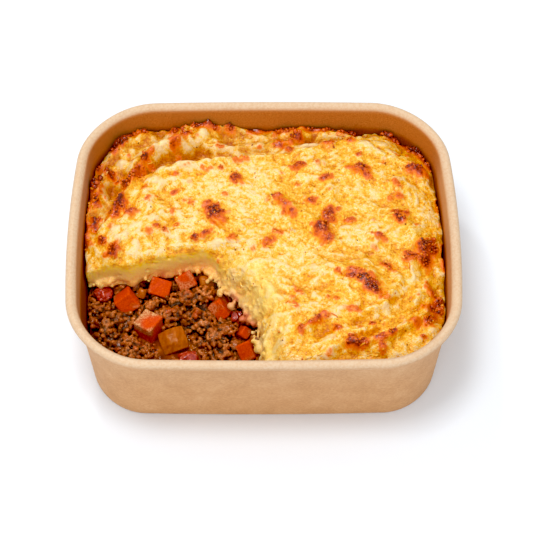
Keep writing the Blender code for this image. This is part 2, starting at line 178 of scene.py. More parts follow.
# ---- filling ----
SAUCED_AND_GLINTED = "carrot_2"  # the carrot with sauce and painted glints over its top
MINCE_CELL = 0.42  # grid spacing of the mince
MINCE_CORNER = (-84.0, -70.0, 14.0)
MINCE_SIZE = (90, 72, 19)
MINCE_FLOOR = 17.0  # lower than this the gravy hides the mince
MINCE_UNDER_MASH = 4.0  # how far the grains run on under the mash
MINCE_LEVEL = 22.0  # height at which the mince's distance from the wall is taken
BODY_BELOW = 3.0  # the body that carries the grains lies this far below the CAD's surface
CLUMP_SPACING = 5.3
CLUMP_LEVEL = 24.0  # height at which a clump's distance from the wall is taken
DICE_CELL = 0.4  # spacing of the dents and of the sauce on the vegetables

# ---- camera and light ----
LENS = 108.66
CAMERA_DISTANCE = 0.7487  # metres from the origin
CAMERA_ELEVATION = 0.9762  # radians
AIM_RIGHT = 0.00166
AIM_UP = 0.01683
SENSOR_WIDTH = 36
BLACK_LEVEL = 0.012
SKY_STRENGTH = 0.73
# Square area lights aimed at the origin: name, place and side in metres, watts.
LIGHTS = (
    ("key", (-0.12, -0.07, 0.90), 0.24, 3.3),
    ("fill", (-0.10, -0.90, 0.55), 0.80, 2.3),
    ("sparkle", (-0.24, 0.36, 0.78), 0.08, 1.0),
)
FLOOR_REACH = 3.0  # metres from the origin to the floor's sides


# ---- numbers on grids ----

def spline_weights(count, spans):
    """Weights of a cubic B-spline that spreads random knots over count samples."""
    t = np.linspace(0, spans, count)
    base = np.minimum(t.astype(int), int(math.ceil(spans)) - 1)
    f = t - base
    weights = np.zeros((count, int(math.ceil(spans)) + 3), np.float32)
    shares = ((1 - f) ** 3, 3 * f ** 3 - 6 * f ** 2 + 4, -3 * f ** 3 + 3 * f ** 2 + 3 * f + 1, f ** 3)
    for k, share in enumerate(shares):
        weights[np.arange(count), base + k] = share / 6
    return weights


def smooth_noise(shape, cell, size, seed):
    """Random values on a grid, smooth over size, with mean 0 and standard deviation 1."""
    axes = [spline_weights(n, max((n - 1) * cell / size, 1.0)) for n in shape]
    values = np.random.default_rng(seed).uniform(-1, 1, [a.shape[1] for a in axes]).astype(np.float32)
    for k, weights in enumerate(axes):
        values = np.moveaxis(np.tensordot(weights, values, (1, k)), 0, k)
    return (values - values.mean()) / values.std()


def lumps(shape, cell, size, seed):
    """Rounded lumps with sharp creases between them, with mean 0 and standard deviation 1."""
    values = np.minimum(np.abs(smooth_noise(shape, cell, size, seed)), 1.8)
    return (values - values.mean()) / values.std()


def blurred(values, cell, radius):
    """Values smoothed by a bell curve of this radius."""
    spectrum = np.fft.rfftn(values)
    for k, n in enumerate(values.shape):
        last = k == values.ndim - 1
        frequency = (np.fft.rfftfreq if last else np.fft.fftfreq)(n, cell)
        bell = np.exp(-2 * (math.pi * radius * frequency) ** 2)
        spectrum *= bell.reshape([-1 if i == k else 1 for i in range(values.ndim)])
    return np.fft.irfftn(spectrum, values.shape).astype(np.float32)


def interpolate(values, places):
    """Multilinear reading of a grid at places, an array of index coordinates of shape (axes, n)."""
    corner = [np.clip(np.floor(p).astype(int), 0, n - 2) for p, n in zip(places, values.shape)]
    share = [np.clip(p - c, 0, 1) for p, c in zip(places, corner)]
    total = 0
    for offsets in itertools.product((0, 1), repeat=values.ndim):
        weight = 1
        for s, o in zip(share, offsets):
            weight = weight * (s if o else 1 - s)
        total = total + weight * values[tuple(c + o for c, o in zip(corner, offsets))]
    return total


def smoothstep(values, low, high):
    t = np.clip((values - low) / (high - low), 0, 1)
    return t * t * (3 - 2 * t)


def smooth_max(a, b, blend):
    h = np.clip(0.5 + 0.5 * (a - b) / blend, 0, 1)
    return b * (1 - h) + a * h + blend * h * (1 - h)


def smooth_path(points, steps):
    """A Catmull-Rom curve through the inner points, as an array."""
    p = np.array(points, float)
    t = (np.arange(steps) / steps)[:, None]
    parts = [0.5 * (2 * b + (c - a) * t + (2 * a - 5 * b + 4 * c - d) * t ** 2
                    + (3 * b - a - 3 * c + d) * t ** 3)
             for a, b, c, d in zip(p, p[1:], p[2:], p[3:])]
    return np.concatenate(parts + [p[-2:-1]])


def whole_path(points, steps):
    """A Catmull-Rom curve through all the points, as an array."""
    return smooth_path((points[0],) + points + (points[-1],), steps)


def path_distance(path, x, y):
    """Distance to a path in plan, positive on its left; and where along it, from 0 to 1."""
    best = np.full(x.shape, np.inf)
    signed = np.zeros(x.shape)
    along = np.zeros(x.shape)
    segments = len(path) - 1
    for i in range(segments):
        (ax, ay), (bx, by) = path[i][:2], path[i + 1][:2]
        dx, dy = bx - ax, by - ay
        t = np.clip(((x - ax) * dx + (y - ay) * dy) / (dx * dx + dy * dy), 0, 1)
        px, py = x - ax - t * dx, y - ay - t * dy
        distance = np.hypot(px, py)
        nearer = distance < best
        best = np.where(nearer, distance, best)
        signed = np.where(nearer, np.sign(dx * (y - ay) - dy * (x - ax)) * distance, signed)
        along = np.where(nearer, (i + t) / segments, along)
    return signed, along


def surface_net(field, low, cell):
    """Points and quads of the surface where field crosses zero. The field is negative inside,
    and is first closed at the sides of its grid."""
    field[[0, -1]], field[:, [0, -1]], field[:, :, [0, -1]] = 1, 1, 1
    inside = field < 0
    nx, ny, nz = field.shape
    offsets = list(itertools.product((0, 1), repeat=3))
    count = sum(inside[i:nx - 1 + i, j:ny - 1 + j, k:nz - 1 + k].astype(np.int8) for i, j, k in offsets)
    mixed = (count > 0) & (count < 8)
    index = np.full(mixed.shape, -1, np.int32)
    index[mixed] = np.arange(mixed.sum())
    cells = np.argwhere(mixed)
    values = {o: field[tuple((cells + o).T)] for o in offsets}
    total, hits = np.zeros((len(cells), 3)), np.zeros(len(cells))
    for a, b in itertools.combinations(offsets, 2):
        step = np.subtract(b, a)
        if np.abs(step).sum() != 1:
            continue
        crossed = (values[a] < 0) != (values[b] < 0)
        t = values[a][crossed] / (values[a][crossed] - values[b][crossed])
        total[crossed] += np.array(a) + t[:, None] * step
        hits[crossed] += 1
    points = np.array(low) + cell * (cells + total / hits[:, None])
    quads = []
    for axis in range(3):
        u, v = (axis + 1) % 3, (axis + 2) % 3
        leaving = -np.diff(inside.astype(np.int8), axis=axis)
        for way in (1, -1):
            spot = np.argwhere(leaving == way)
            around = []
            for du, dv in ((-1, -1), (0, -1), (0, 0), (-1, 0)):
                beside = spot.copy()
                beside[:, u] += du
                beside[:, v] += dv
                around.append(index[tuple(beside.T)])
            quads.append(np.stack(around[::way], 1))
    return points, np.concatenate(quads)


# ---- meshes ----

def add_object(name, data):
    piece = bpy.data.objects.new(name, data)
    bpy.context.scene.collection.objects.link(piece)
    return piece


def make_piece(name, points, faces, material, slot, **values):
    """A smooth mesh piece from points in mm; values are numbers for each point, for the material."""
    mesh = bpy.data.meshes.new(name)
    mesh.from_pydata(np.asarray(points, float) * MM, [], faces)
    for key, numbers in values.items():
        stored = mesh.attributes.new(key, "FLOAT", "POINT")
        stored.data.foreach_set("value", np.asarray(numbers, np.float32))
    mesh.shade_smooth()
    mesh.materials.append(material)
    piece = add_object(name, mesh)
    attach(piece, "root")
    return piece


def tube_faces(tubes, rings, sides):
    """Faces of tubes whose points run ring by ring, with both ends capped."""
    index = np.arange(tubes * rings * sides).reshape(tubes, rings, sides)
    ahead = np.roll(index, -1, 2)
    quads = np.stack((index[:, :-1], ahead[:, :-1], ahead[:, 1:], index[:, 1:]), -1).reshape(-1, 4)
    return quads.tolist() + index[:, 0, ::-1].tolist() + index[:, -1].tolist()


def close_holes(piece):
    """Caps the open underside of a piece, which the food below hides."""
    bm = bmesh.new()
    bm.from_mesh(piece.data)
    rim = [e for e in bm.edges if e.is_boundary]
    bmesh.ops.triangle_fill(bm, use_beauty=False, use_dissolve=False, edges=rim)
    bmesh.ops.recalc_face_normals(bm, faces=bm.faces[:])
    for face in bm.faces:
        face.smooth = True
    bm.to_mesh(piece.data)
    bm.free()


def largest_island(points, faces):
    """The points and faces of the biggest connected part."""
    label = np.arange(len(points))
    while True:
        lowest = label[faces].min(1)
        fresh = label.copy()
        for k in range(faces.shape[1]):
            np.minimum.at(fresh, faces[:, k], lowest)
        fresh = fresh[fresh]
        if np.array_equal(fresh, label):
            break
        label = fresh
    counts = np.bincount(label[faces[:, 0]], minlength=len(points))
    return without_faces(points, faces, label != counts.argmax())


def without_faces(points, faces, unwanted):
    """The points and faces left when faces with only unwanted points are taken away."""
    faces = faces[~unwanted[faces].all(1)]
    used = np.unique(faces)
    renumber = np.zeros(len(points), int)
    renumber[used] = np.arange(len(used))
    return points[used], renumber[faces]


# ---- materials ----

def srgb(red, green, blue):
    """A linear colour from sRGB levels of 0 to 255."""
    return (*[(((v / 255) + 0.055) / 1.055) ** 2.4 for v in (red, green, blue)], 1.0)


class Finish:
    """A Principled material whose node tree is built by short calls."""

    def __init__(self, name, **constants):
        self.material = bpy.data.materials.new(name)
        self.material.use_nodes = True
        self.tree = self.material.node_tree
        self.surface = self.tree.nodes["Principled BSDF"]
        for key, value in constants.items():
            self.surface.inputs[key.replace("_", " ")].default_value = value
        self.place = self.node("TexCoord").outputs["Object"]

    def node(self, kind, sockets=(), **settings):
        """A new node with these settings; sockets pairs inputs with their values or links."""
        made = self.tree.nodes.new("ShaderNode" + kind)
        for key, value in settings.items():
            setattr(made, key, value)
        for key, value in dict(sockets).items():
            self.plug(made.inputs[key], value)
        return made

    def plug(self, socket, value):
        if isinstance(value, bpy.types.NodeSocket):
            self.tree.links.new(value, socket)
        elif value is not None:
            socket.default_value = value

    def value(self, name):
        """A number stored on the mesh's points."""
        return self.node("Attribute", attribute_name=name).outputs["Fac"]

    def noise(self, size, detail=2.0, roughness=0.5, stretch=(1, 1, 1), warp=0.0):
        """Noise from 0 to 1 with features this many mm across."""
        scaled = self.node("Mapping", {"Vector": self.place, "Scale": [1 / s for s in stretch]})
        return self.node("TexNoise", {
            "Vector": scaled.outputs["Vector"], "Scale": 1 / (size * MM), "Detail": detail,
            "Roughness": roughness, "Distortion": warp,
        }).outputs["Fac"]

    def threads(self, size, width, warp):
        """Thin winding lines, 1 in their middle, through noise of this size in mm."""
        away = self.maths("ABSOLUTE", self.minus(self.noise(size, 1.0, 0.5, warp=warp), 0.5))
        return self.span(away, 0.0, width, 1.0, 0.0)

    def beads(self, size):
        """Rounded cells this many mm across: 0 in the middle of each, rising to its border."""
        sockets = {"Vector": self.place, "Scale": 1 / (size * MM)}
        return self.node("TexVoronoi", sockets, feature="F1").outputs["Distance"]

    def maths(self, operation, a, b=0.0, clamp=False):
        return self.node("Math", {0: a, 1: b}, operation=operation, use_clamp=clamp).outputs[0]

    def plus(self, a, b):
        return self.maths("ADD", a, b)

    def minus(self, a, b):
        return self.maths("SUBTRACT", a, b)

    def times(self, a, b, clamp=False):
        return self.maths("MULTIPLY", a, b, clamp)

    def span(self, value, low, high, to_low=0.0, to_high=1.0):
        """Value stretched from low..high to to_low..to_high, smoothly and clamped."""
        sockets = zip(("Value", "From Min", "From Max", "To Min", "To Max"),
                      (value, low, high, to_low, to_high))
        return self.node("MapRange", sockets, interpolation_type="SMOOTHSTEP").outputs["Result"]

    def ramp(self, factor, *stops):
        """Colours along a factor; a stop is its position, then sRGB red, green and blue."""
        made = self.node("ValToRGB", {"Fac": factor})
        while len(made.color_ramp.elements) < len(stops):
            made.color_ramp.elements.new(0.5)
        for element, (position, *levels) in zip(made.color_ramp.elements, stops):
            element.position = position
            element.color = srgb(*levels)
        return made.outputs["Color"]

    def mix(self, factor, a, b, blend="MIX"):
        sockets = {"Factor": factor, 6: a, 7: b}
        return self.node("Mix", sockets, data_type="RGBA", blend_type=blend).outputs[2]

    def bump(self, height, depth, under=None):
        """Adds relief of this depth in mm, over another bump's normal if one is given."""
        sockets = {"Distance": depth * MM, "Height": height, "Normal": under}
        return self.node("Bump", sockets).outputs["Normal"]

    def finish(self, color, normal=None, roughness=None):
        for key, value in (("Base Color", color), ("Normal", normal), ("Roughness", roughness)):
            self.plug(self.surface.inputs[key], value)
        return self.material


def kraft_finish():
    """Kraft paper: fibres and soft mottling outside with painted highlights and painted light; greasy
    inside, darker by the food from soak and painted shade.
    """
    f = Finish("kraft_paper", Roughness=0.60, Specular_IOR_Level=0.25)
    fibres = f.noise(0.7, 3.0, 0.7, stretch=(1.7, 1.7, 1))
    grain = f.noise(0.5, 2.0, 0.6)
    cloud = f.noise(9, 3.0, 0.6)
    tone = f.plus(f.times(fibres, 0.6), f.times(cloud, 0.4))
    paper = f.ramp(tone, (0.30, 186, 134, 85), (0.50, 203, 152, 103), (0.72, 217, 172, 127))
    greasy = f.ramp(grain, (0.3, 172, 98, 34), (0.7, 200, 126, 54))
    soaked_and_shaded = f.ramp(grain, (0.3, 126, 54, 4), (0.7, 158, 78, 10))
    # Painted light: where rim is high the paper turns lighter, a painted highlight on the bead's top and the
    # lip's edge, and a little lighter towards the top of the wall.
    painted_light = f.times(f.value("rim"), f.span(fibres, 0.36, 0.64, 0.52, 0.78))
    paper = f.mix(painted_light, paper, srgb(216, 190, 159))
    color = f.mix(f.value("inner"), paper, greasy)
    # Grease soak and painted shade: the inner wall darkens in mottles towards the food.
    wicked_and_shaded = f.plus(f.value("soak"), f.times(f.minus(cloud, 0.5), 0.5))
    color = f.mix(f.span(wicked_and_shaded, 0.3, 1.0), color, soaked_and_shaded)
    relief = f.plus(fibres, f.times(grain, 0.6))
    return f.finish(color, f.bump(relief, 0.09))


def mash_finish():
    """Mashed potato: cream lumps, golden creases of painted shade, toasted orange, brown and nearly black.
    """
    f = Finish("mashed_potato", Roughness=0.38, Specular_IOR_Level=0.38, Subsurface_Scale=0.004,
               Subsurface_Radius=(1.0, 0.45, 0.12), Coat_Weight=0.2, Coat_Roughness=0.16)
    browned, cut, bits = f.value("toast"), f.value("cut"), f.value("torn")
    fine = f.noise(1.2, 3.0, 0.62)
    coarse = f.noise(3.4, 2.0, 0.6)
    lines = f.maths("MAXIMUM", f.threads(3.2, 0.045, 1.2), f.threads(1.9, 0.06, 0.8))
    # Painted shade: creases of the bump noise and the thin lines turn more golden.
    creases = f.plus(f.span(fine, 0.36, 0.60, 0.14, -0.20), f.times(lines, 0.42))
    patches = f.times(f.minus(coarse, 0.5), 0.24)
    gold = f.plus(f.plus(f.value("gold"), creases), patches)
    top = f.ramp(gold, (0.0, 243, 212, 154), (0.2, 245, 207, 117), (0.4, 247, 195, 59),
                 (0.6, 245, 177, 18), (0.8, 238, 156, 4), (1.0, 213, 125, 2))
    # Painted shade: the shade value multiplies the top's colour darker.
    shade_tint = (0.72, 0.54, 0.22, 1.0)
    top = f.mix(f.value("shade"), top, shade_tint, blend="MULTIPLY")
    deep = f.plus(f.value("depth"), f.times(f.plus(patches, creases), 0.45))
    face = f.ramp(deep, (0.0, 255, 212, 66), (0.1, 255, 212, 34), (0.2, 255, 214, 80),
                  (0.42, 255, 212, 116), (0.62, 253, 200, 114), (0.85, 248, 182, 98),
                  (1.0, 240, 166, 92))
    torn = f.ramp(deep, (0.0, 255, 222, 116), (0.5, 253, 214, 126), (1.0, 248, 206, 152))
    color = f.mix(cut, top, f.mix(bits, face, torn))
    color = f.mix(f.value("stain"), color, srgb(212, 100, 66))
    toast = f.plus(browned, f.times(f.minus(0.5, fine), f.times(browned, 1.5)))
    burnt = f.ramp(toast, (0.0, 246, 158, 0), (0.25, 240, 130, 0), (0.45, 224, 104, 12),
                   (0.65, 190, 72, 14), (0.82, 138, 42, 10), (1.0, 92, 26, 8))
    color = f.mix(f.span(toast, 0.06, 0.34), color, burnt)
    smooth_face = f.times(cut, f.minus(1.0, bits), clamp=True)
    f.plug(f.surface.inputs["Subsurface Weight"], f.span(smooth_face, 0.0, 1.0, 0.06, 0.5))
    depth = f.times(f.span(browned, 0.2, 0.8, 1.0, 0.35), f.span(smooth_face, 0.2, 1.0, 1.0, 0.5))
    relief = f.plus(fine, f.times(coarse, 0.4))
    relief = f.times(f.minus(relief, f.times(lines, 0.12)), depth)
    return f.finish(color, f.bump(relief, 0.62), f.span(browned, 0.15, 0.7, 0.42, 0.20))


def mince_finish():
    """Cooked mince in gravy: tan to red-brown grains, wet, with painted shade darkening the hollows."""
    f = Finish("minced_meat", Roughness=0.30, Specular_IOR_Level=0.4, Coat_Weight=0.25,
               Coat_Roughness=0.08, Specular_Tint=srgb(255, 206, 160))
    fine = f.noise(0.5, 3.0, 0.6)
    clump = f.noise(4.5, 2.0)
    bead = f.beads(1.7)
    tone = f.plus(f.times(fine, 0.5), f.times(clump, 0.5))
    meat = f.ramp(tone, (0.3, 112, 40, 5), (0.45, 162, 76, 18), (0.57, 208, 120, 54), (0.7, 246, 176, 118))
    red = f.mix(f.span(f.noise(6.5, 1.0), 0.54, 0.75, 0, 0.7), meat, srgb(186, 66, 18))
    # Painted shade: dark in the hollows and at the borders of the bead cells, between the grains.
    painted_gap_shade = f.plus(f.value("hollow"), f.span(bead, 0.42, 0.72, 0.0, 0.24))
    color = f.mix(f.span(painted_gap_shade, 0.0, 0.8), red, srgb(38, 8, 0))
    return f.finish(color, f.bump(fine, 0.14, f.bump(f.minus(1.0, bead), 0.55)))


def gravy_finish():
    """Thin, glossy brown gravy."""
    f = Finish("gravy", Roughness=0.07, Specular_IOR_Level=0.22, Specular_Tint=srgb(255, 214, 176))
    color = f.ramp(f.noise(5.0, 2.0), (0.3, 88, 30, 4), (0.55, 140, 62, 10), (0.75, 180, 98, 26))
    return f.finish(color, f.bump(f.noise(2.6, 1.0), 0.12))


def carrot_finish():
    """Orange flesh, paler at the edges, with gravy where the mesh says so, whose pale speckles are painted
    glints.
    """
    f = Finish("carrot", Roughness=0.45, Specular_IOR_Level=0.12)
    fine = f.noise(0.7, 3.0, 0.6)
    flesh = f.ramp(fine, (0.3, 192, 56, 0), (0.55, 210, 73, 2), (0.75, 228, 98, 10))
    color = f.mix(f.span(f.value("edge"), 0.2, 1.0, 0.0, 0.6), flesh, srgb(252, 150, 50))
    # Painted highlight: the gravy's pale speckles stand in for glints.
    sauce = f.ramp(fine, (0.4, 176, 88, 26), (0.6, 222, 180, 126))
    return f.finish(f.mix(f.value("sauce"), color, sauce), f.bump(fine, 0.08))


def onion_finish():
    """Soft onion, stained amber by the gravy."""
    f = Finish("onion", Roughness=0.20, Specular_IOR_Level=0.22, Specular_Tint=srgb(255, 210, 160),
               Subsurface_Weight=0.5, Subsurface_Radius=(1.0, 0.6, 0.3), Subsurface_Scale=0.003)
    streak = f.noise(1.4, 2.0, 0.5, stretch=(1, 5, 1))
    color = f.ramp(streak, (0.3, 160, 78, 12), (0.55, 178, 94, 22), (0.75, 196, 118, 40))
    return f.finish(color, f.bump(streak, 0.08))


def tomato_finish():
    """Soft, wet red tomato."""
    f = Finish("tomato", Roughness=0.2, Specular_IOR_Level=0.55, Coat_Weight=0.5, Coat_Roughness=0.08,
               Subsurface_Weight=0.3, Subsurface_Radius=(1.0, 0.3, 0.2), Subsurface_Scale=0.002)
    streak = f.noise(1.3, 3.0, 0.6)
    color = f.ramp(streak, (0.28, 140, 26, 10), (0.5, 178, 48, 26), (0.72, 214, 110, 76))
    return f.finish(color, f.bump(streak, 0.15))


# ---- tub ----

def rounded_outline(half_length, half_width, corner):
    """A round-cornered rectangle whose sides bow outwards, counterclockwise."""
    points = []
    arcs = []
    for k, (sx, sy) in enumerate(((1, 1), (-1, 1), (-1, -1), (1, -1))):
        angles = (k + np.linspace(0, 1, CORNER_STEPS + 1)) * math.pi / 2
        arcs.append(np.stack((sx * (half_length - corner) + corner * np.cos(angles),
                              sy * (half_width - corner) + corner * np.sin(angles)), 1))
    for k, arc in enumerate(arcs):
        following = arcs[(k + 1) % 4][0]
        t = (np.arange(1, SIDE_STEPS) / SIDE_STEPS)[:, None]
        points += [arc, arc[-1] * (1 - t) + following * t]
    x, y = np.concatenate(points).T
    return np.stack((x * (1 - BOW_ENDS * (y / half_width) ** 2),
                     y * (1 - BOW_SIDES * (x / half_length) ** 2)), 1)


def wall_sizes(level):
    """Half length, half width and corner radius of the wall's outer face at a height."""
    narrower = BASE_INSET * (1 - level / BEAD_Z)
    corner = BASE_CORNER + (TOP_CORNER - BASE_CORNER) * level / BEAD_Z
    return WALL_LENGTH - narrower, WALL_WIDTH - narrower, corner


def wall_depth(x, y, z):
    """How far a point lies inside the outer face of the wall, in plan."""
    half_length, half_width, corner = wall_sizes(z)
    across = np.abs(x) / (1 - BOW_ENDS * np.clip(y / half_width, -1, 1) ** 2)
    up = np.abs(y) / (1 - BOW_SIDES * np.clip(x / half_length, -1, 1) ** 2)
    qx, qy = across - (half_length - corner), up - (half_width - corner)
    outside = np.hypot(np.maximum(qx, 0), np.maximum(qy, 0)) + np.minimum(np.maximum(qx, qy), 0)
    return corner - outside


def build_tub():
    """The shell, lofted from under the base, up the outside, over the bead and down the inside."""
    lip_top = BEAD_Z - 0.8 * BEAD_RADIUS
    lip_foot = lip_top - LIP_HEIGHT
    # Each ring is the wall's outline at a level, moved in by an inset and put at a height.
    outer = [(0, 4.0, 0.5), (0, 3.0, 0.35), (0, 1.0, 0.0), (0, 0.45, 0.12), (0.3, 0.12, 0.5)]
    outer += [(1.0, 0.0, 1.2)] + [(z, 0.0, z) for z in np.linspace(3, lip_foot - 0.35, 12)]
    outer += [(lip_foot, 0.0, lip_foot - 0.1), (lip_foot, -LIP_PROUD, lip_foot + 0.1),
              (lip_foot, -LIP_PROUD - 0.05, lip_foot + 0.5), (lip_foot, -LIP_PROUD, lip_foot + 1.0),
              (lip_top, -LIP_PROUD, lip_top - 0.1)]
    for degrees in range(-110, 111, 11):
        turn = math.radians(degrees)
        out = BEAD_RADIUS * (1 + math.cos(turn))
        outer.append((BEAD_Z, -out, BEAD_Z + BEAD_RADIUS * math.sin(turn)))
    inner = [(BEAD_Z, -0.45, BEAD_Z + 1.1), (BEAD_Z, PAPER - 0.4, BEAD_Z + 0.5),
             (BEAD_Z, PAPER, BEAD_Z - 0.4)]
    inner += [(z, PAPER, z) for z in np.linspace(BEAD_Z - 1.5, BASE_PAPER + FILLET + 1, 16)]
    for degrees in (0, 22, 45, 68, 90):
        turn = math.radians(degrees)
        z = BASE_PAPER + FILLET * (1 - math.sin(turn))
        inner.append((z, PAPER + FILLET * (1 - math.cos(turn)), z))
    rings = []
    for level, inset, z in outer + inner:
        outline = rounded_outline(*[size - inset for size in wall_sizes(level)])
        rings.append(np.column_stack((outline, np.full(len(outline), z))))
    count = len(rings[0])
    points = np.concatenate(rings)
    x, y, z = points.T
    inside = (np.arange(len(points)) >= len(outer) * count) & (z > 2)
    # Painted light: near the rim at the front ends of the short walls, the inner wall keeps the light kraft
    # colour without the greasy one.
    painted_lit_wall = 0.75 * smoothstep(y, 50, 25) * smoothstep(np.abs(x), 66, 78)
    painted_lit_wall = painted_lit_wall * smoothstep(z, BEAD_Z - 11, BEAD_Z - 3)
    # Painted light: rim is a painted highlight over the bead's top, and makes the outer wall a little
    # lighter towards the top.
    rim = smoothstep(z, BEAD_Z - 0.8, BEAD_Z + 1.2) + 0.2 * smoothstep(z, 22, 44)
    tub = make_piece("kraft_tub", points, tube_faces(1, len(rings), count), kraft_finish(), "kraft_paper",
                     inner=inside * smoothstep(z, BEAD_Z + 1.0, BEAD_Z - 0.9) * (1 - painted_lit_wall),
                     # Grease soak and painted shade, rising towards the food.
                     soak=inside * smoothstep(z, 44, 37),
                     # The lip's edge gets a thin painted highlight.
                     rim=np.maximum(rim, np.abs(z - lip_foot - 0.3) < 0.35))
    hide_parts("tub")


# ---- mash ----

MASH_X = np.arange(-84, 84, CELL)
MASH_Y = np.arange(-71, 71, CELL)
PLAN_X, PLAN_Y = np.meshgrid(MASH_X, MASH_Y, indexing="ij")
FROM_WALL = wall_depth(PLAN_X, PLAN_Y, MASH_LEVEL) - PAPER


def read_plan(values, points):
    """A plan grid's value at each point."""
    return interpolate(values, ((points[:, 0] - MASH_X[0]) / CELL, (points[:, 1] - MASH_Y[0]) / CELL))


def plan_noise(size, seed, kind=smooth_noise):
    return kind(PLAN_X.shape, CELL, size, seed)


def plan_window(x, y, reach):
    """The part of the plan within this reach of a place, as slices."""
    i0, i1 = np.searchsorted(MASH_X, (x - reach, x + reach))
    j0, j1 = np.searchsorted(MASH_Y, (y - reach, y + reach))
    return slice(i0, i1), slice(j0, j1)


def combing_angle():
    """The combing direction over the plan, in radians from +X."""
    double_cos, double_sin = np.zeros(PLAN_X.shape), np.zeros(PLAN_X.shape)
    for x, y, degrees in COMBING:
        weight = 1 / ((PLAN_X - x) ** 2 + (PLAN_Y - y) ** 2 + 20) ** 1.6
        double_cos += weight * math.cos(math.radians(2 * degrees))
        double_sin += weight * math.sin(math.radians(2 * degrees))
    return 0.5 * np.arctan2(double_sin, double_cos) + 0.16 * plan_noise(7, 21)


def combed(pattern, reach, angle):
    """The pattern smeared along the combing direction, with mean 0 and standard deviation 1."""
    cos, sin = np.cos(angle), np.sin(angle)
    total = pattern.copy()
    steps = int(reach / CELL)
    grid = np.indices(pattern.shape).reshape(2, -1).astype(np.float32)
    for way in (1, -1):
        place = grid.copy()
        heading = way * np.stack((cos, sin)).reshape(2, -1)
        for _ in range(steps):
            nearest = [np.clip(np.rint(p).astype(int), 0, n - 1) for p, n in zip(place, pattern.shape)]
            turn = np.stack((cos[tuple(nearest)], sin[tuple(nearest)]))
            heading = turn * np.where((turn * heading).sum(0) < 0, -1, 1)
            place = place + heading
            total += interpolate(pattern, place).reshape(pattern.shape)
    return (total - total.mean()) / total.std()


def raise_domes(relief, domes, power=0.5):
    """Lifts a plan to the highest of many domes: x, y, long and short radius, angle, bend, rise."""
    for x, y, long, short, angle, bend, rise in domes:
        window = plan_window(x, y, long + short)
        dx, dy = PLAN_X[window] - x, PLAN_Y[window] - y
        along = dx * math.cos(angle) + dy * math.sin(angle)
        across = dy * math.cos(angle) - dx * math.sin(angle) + bend * along ** 2
        dome = 1 - (along / long) ** 2 - (across / short) ** 2
        relief[window] = np.maximum(relief[window], rise * np.maximum(dome, 0) ** power)


def shred_relief(combing):
    """Overlapping shreds of riced potato, lying mostly along the combing."""
    rng = np.random.default_rng(71)
    relief = np.zeros(PLAN_X.shape)
    domes = []
    for _ in range(RELIEF_SHREDS):
        i, j = rng.integers(0, PLAN_X.shape[0]), rng.integers(0, PLAN_X.shape[1])
        short = rng.uniform(0.5, 1.15)
        domes.append((MASH_X[i], MASH_Y[j], short * rng.uniform(1.2, 3.4), short,
                      combing[i, j] + rng.normal(0, 0.45), rng.normal(0, 0.06),
                      rng.uniform(0.35, 1.0) * short))
    raise_domes(relief, domes)
    return relief


def toasted_patches():
    """Over the plan: how toasted, from 0 to 1, and the relief of the toasted lumps."""
    rng = np.random.default_rng(5)
    wander_x = PLAN_X + 0.9 * plan_noise(2.2, 31)
    wander_y = PLAN_Y + 0.9 * plan_noise(2.2, 32)
    spots = list(SPOTS)
    for _ in range(SMALL_SPOTS):
        size = rng.uniform(0.7, 1.6)
        spots.append((rng.uniform(-78, 78), rng.uniform(-63, 64), size, size * rng.uniform(0.5, 0.9),
                      rng.uniform(-90, 90), rng.uniform(0.2, 0.6)))
    untoasted = np.ones(PLAN_X.shape)
    lumps_of_toast, lumps_of_height = [], []
    for x, y, long, short, degrees, strength in spots:
        window = plan_window(x, y, 2.8 * long)
        dx, dy = wander_x[window] - x, wander_y[window] - y
        turn = math.radians(degrees)
        c, s = math.cos(turn), math.sin(turn)
        away = ((dx * c + dy * s) / long) ** 2 + ((dy * c - dx * s) / short) ** 2
        untoasted[window] *= 1 - 0.38 * strength * np.exp(-0.6 * away)
        for _ in range(int(1.1 * long * short) + 2):
            u, v = rng.normal(0, 0.60, 2)
            size = rng.uniform(0.7, 1.4) + 0.12 * short
            fade = math.exp(-0.5 * (u * u + v * v))
            place = (x + u * long * c - v * short * s, y + u * long * s + v * short * c,
                     size * rng.uniform(1.0, 1.7), size, turn + rng.normal(0, 0.7), 0.0)
            lumps_of_toast.append((*place, min(1.0, 1.4 * strength * fade * rng.uniform(0.5, 1.0))))
            lumps_of_height.append((*place, (0.4 + 0.6 * strength) * fade * rng.uniform(0.5, 1.3) * size))
    grains, relief = np.zeros(PLAN_X.shape), np.zeros(PLAN_X.shape)
    raise_domes(grains, lumps_of_toast, 0.6)
    raise_domes(relief, lumps_of_height)
    return 1 - untoasted * (1 - grains), relief


def mash_sweep():
    """Over the plan: the mash's height before its relief, and the distance behind the terrace."""
    x, y = PLAN_X, PLAN_Y
    nearness = [(1 / ((x - ex) ** 2 + (y - ey) ** 2 + 9) ** 1.5, h) for ex, ey, h in EDGE_HEIGHTS]
    edge = sum(w * h for w, h in nearness) / sum(w for w, _ in nearness)
    across = (np.abs(x / WALL_LENGTH) ** 5 + np.abs(y / WALL_WIDTH) ** 5) ** 0.2
    inward = np.maximum(0.98 - across, 0)
    height = edge + (MASH_CROWN - edge) * (1 - np.exp(-inward / MASH_SHOULDER))
    behind = path_distance(whole_path(TERRACE, 4), x, y)[0] + 0.7 * plan_noise(4, 43)
    height -= TERRACE_DROP * smoothstep(behind, 0, 2.2) * np.clip(inward / 0.1, 0, 1)
    wander_x, wander_y = x + 0.6 * plan_noise(5, 41), y + 0.6 * plan_noise(5, 42)
    for rise, width, path in RIDGES:
        away, along = path_distance(whole_path(path, 5), wander_x, wander_y)
        height += rise * np.exp(-(away / width) ** 2) * np.sqrt(np.sin(math.pi * np.clip(along, 0.01, 0.99)))
    return height, behind


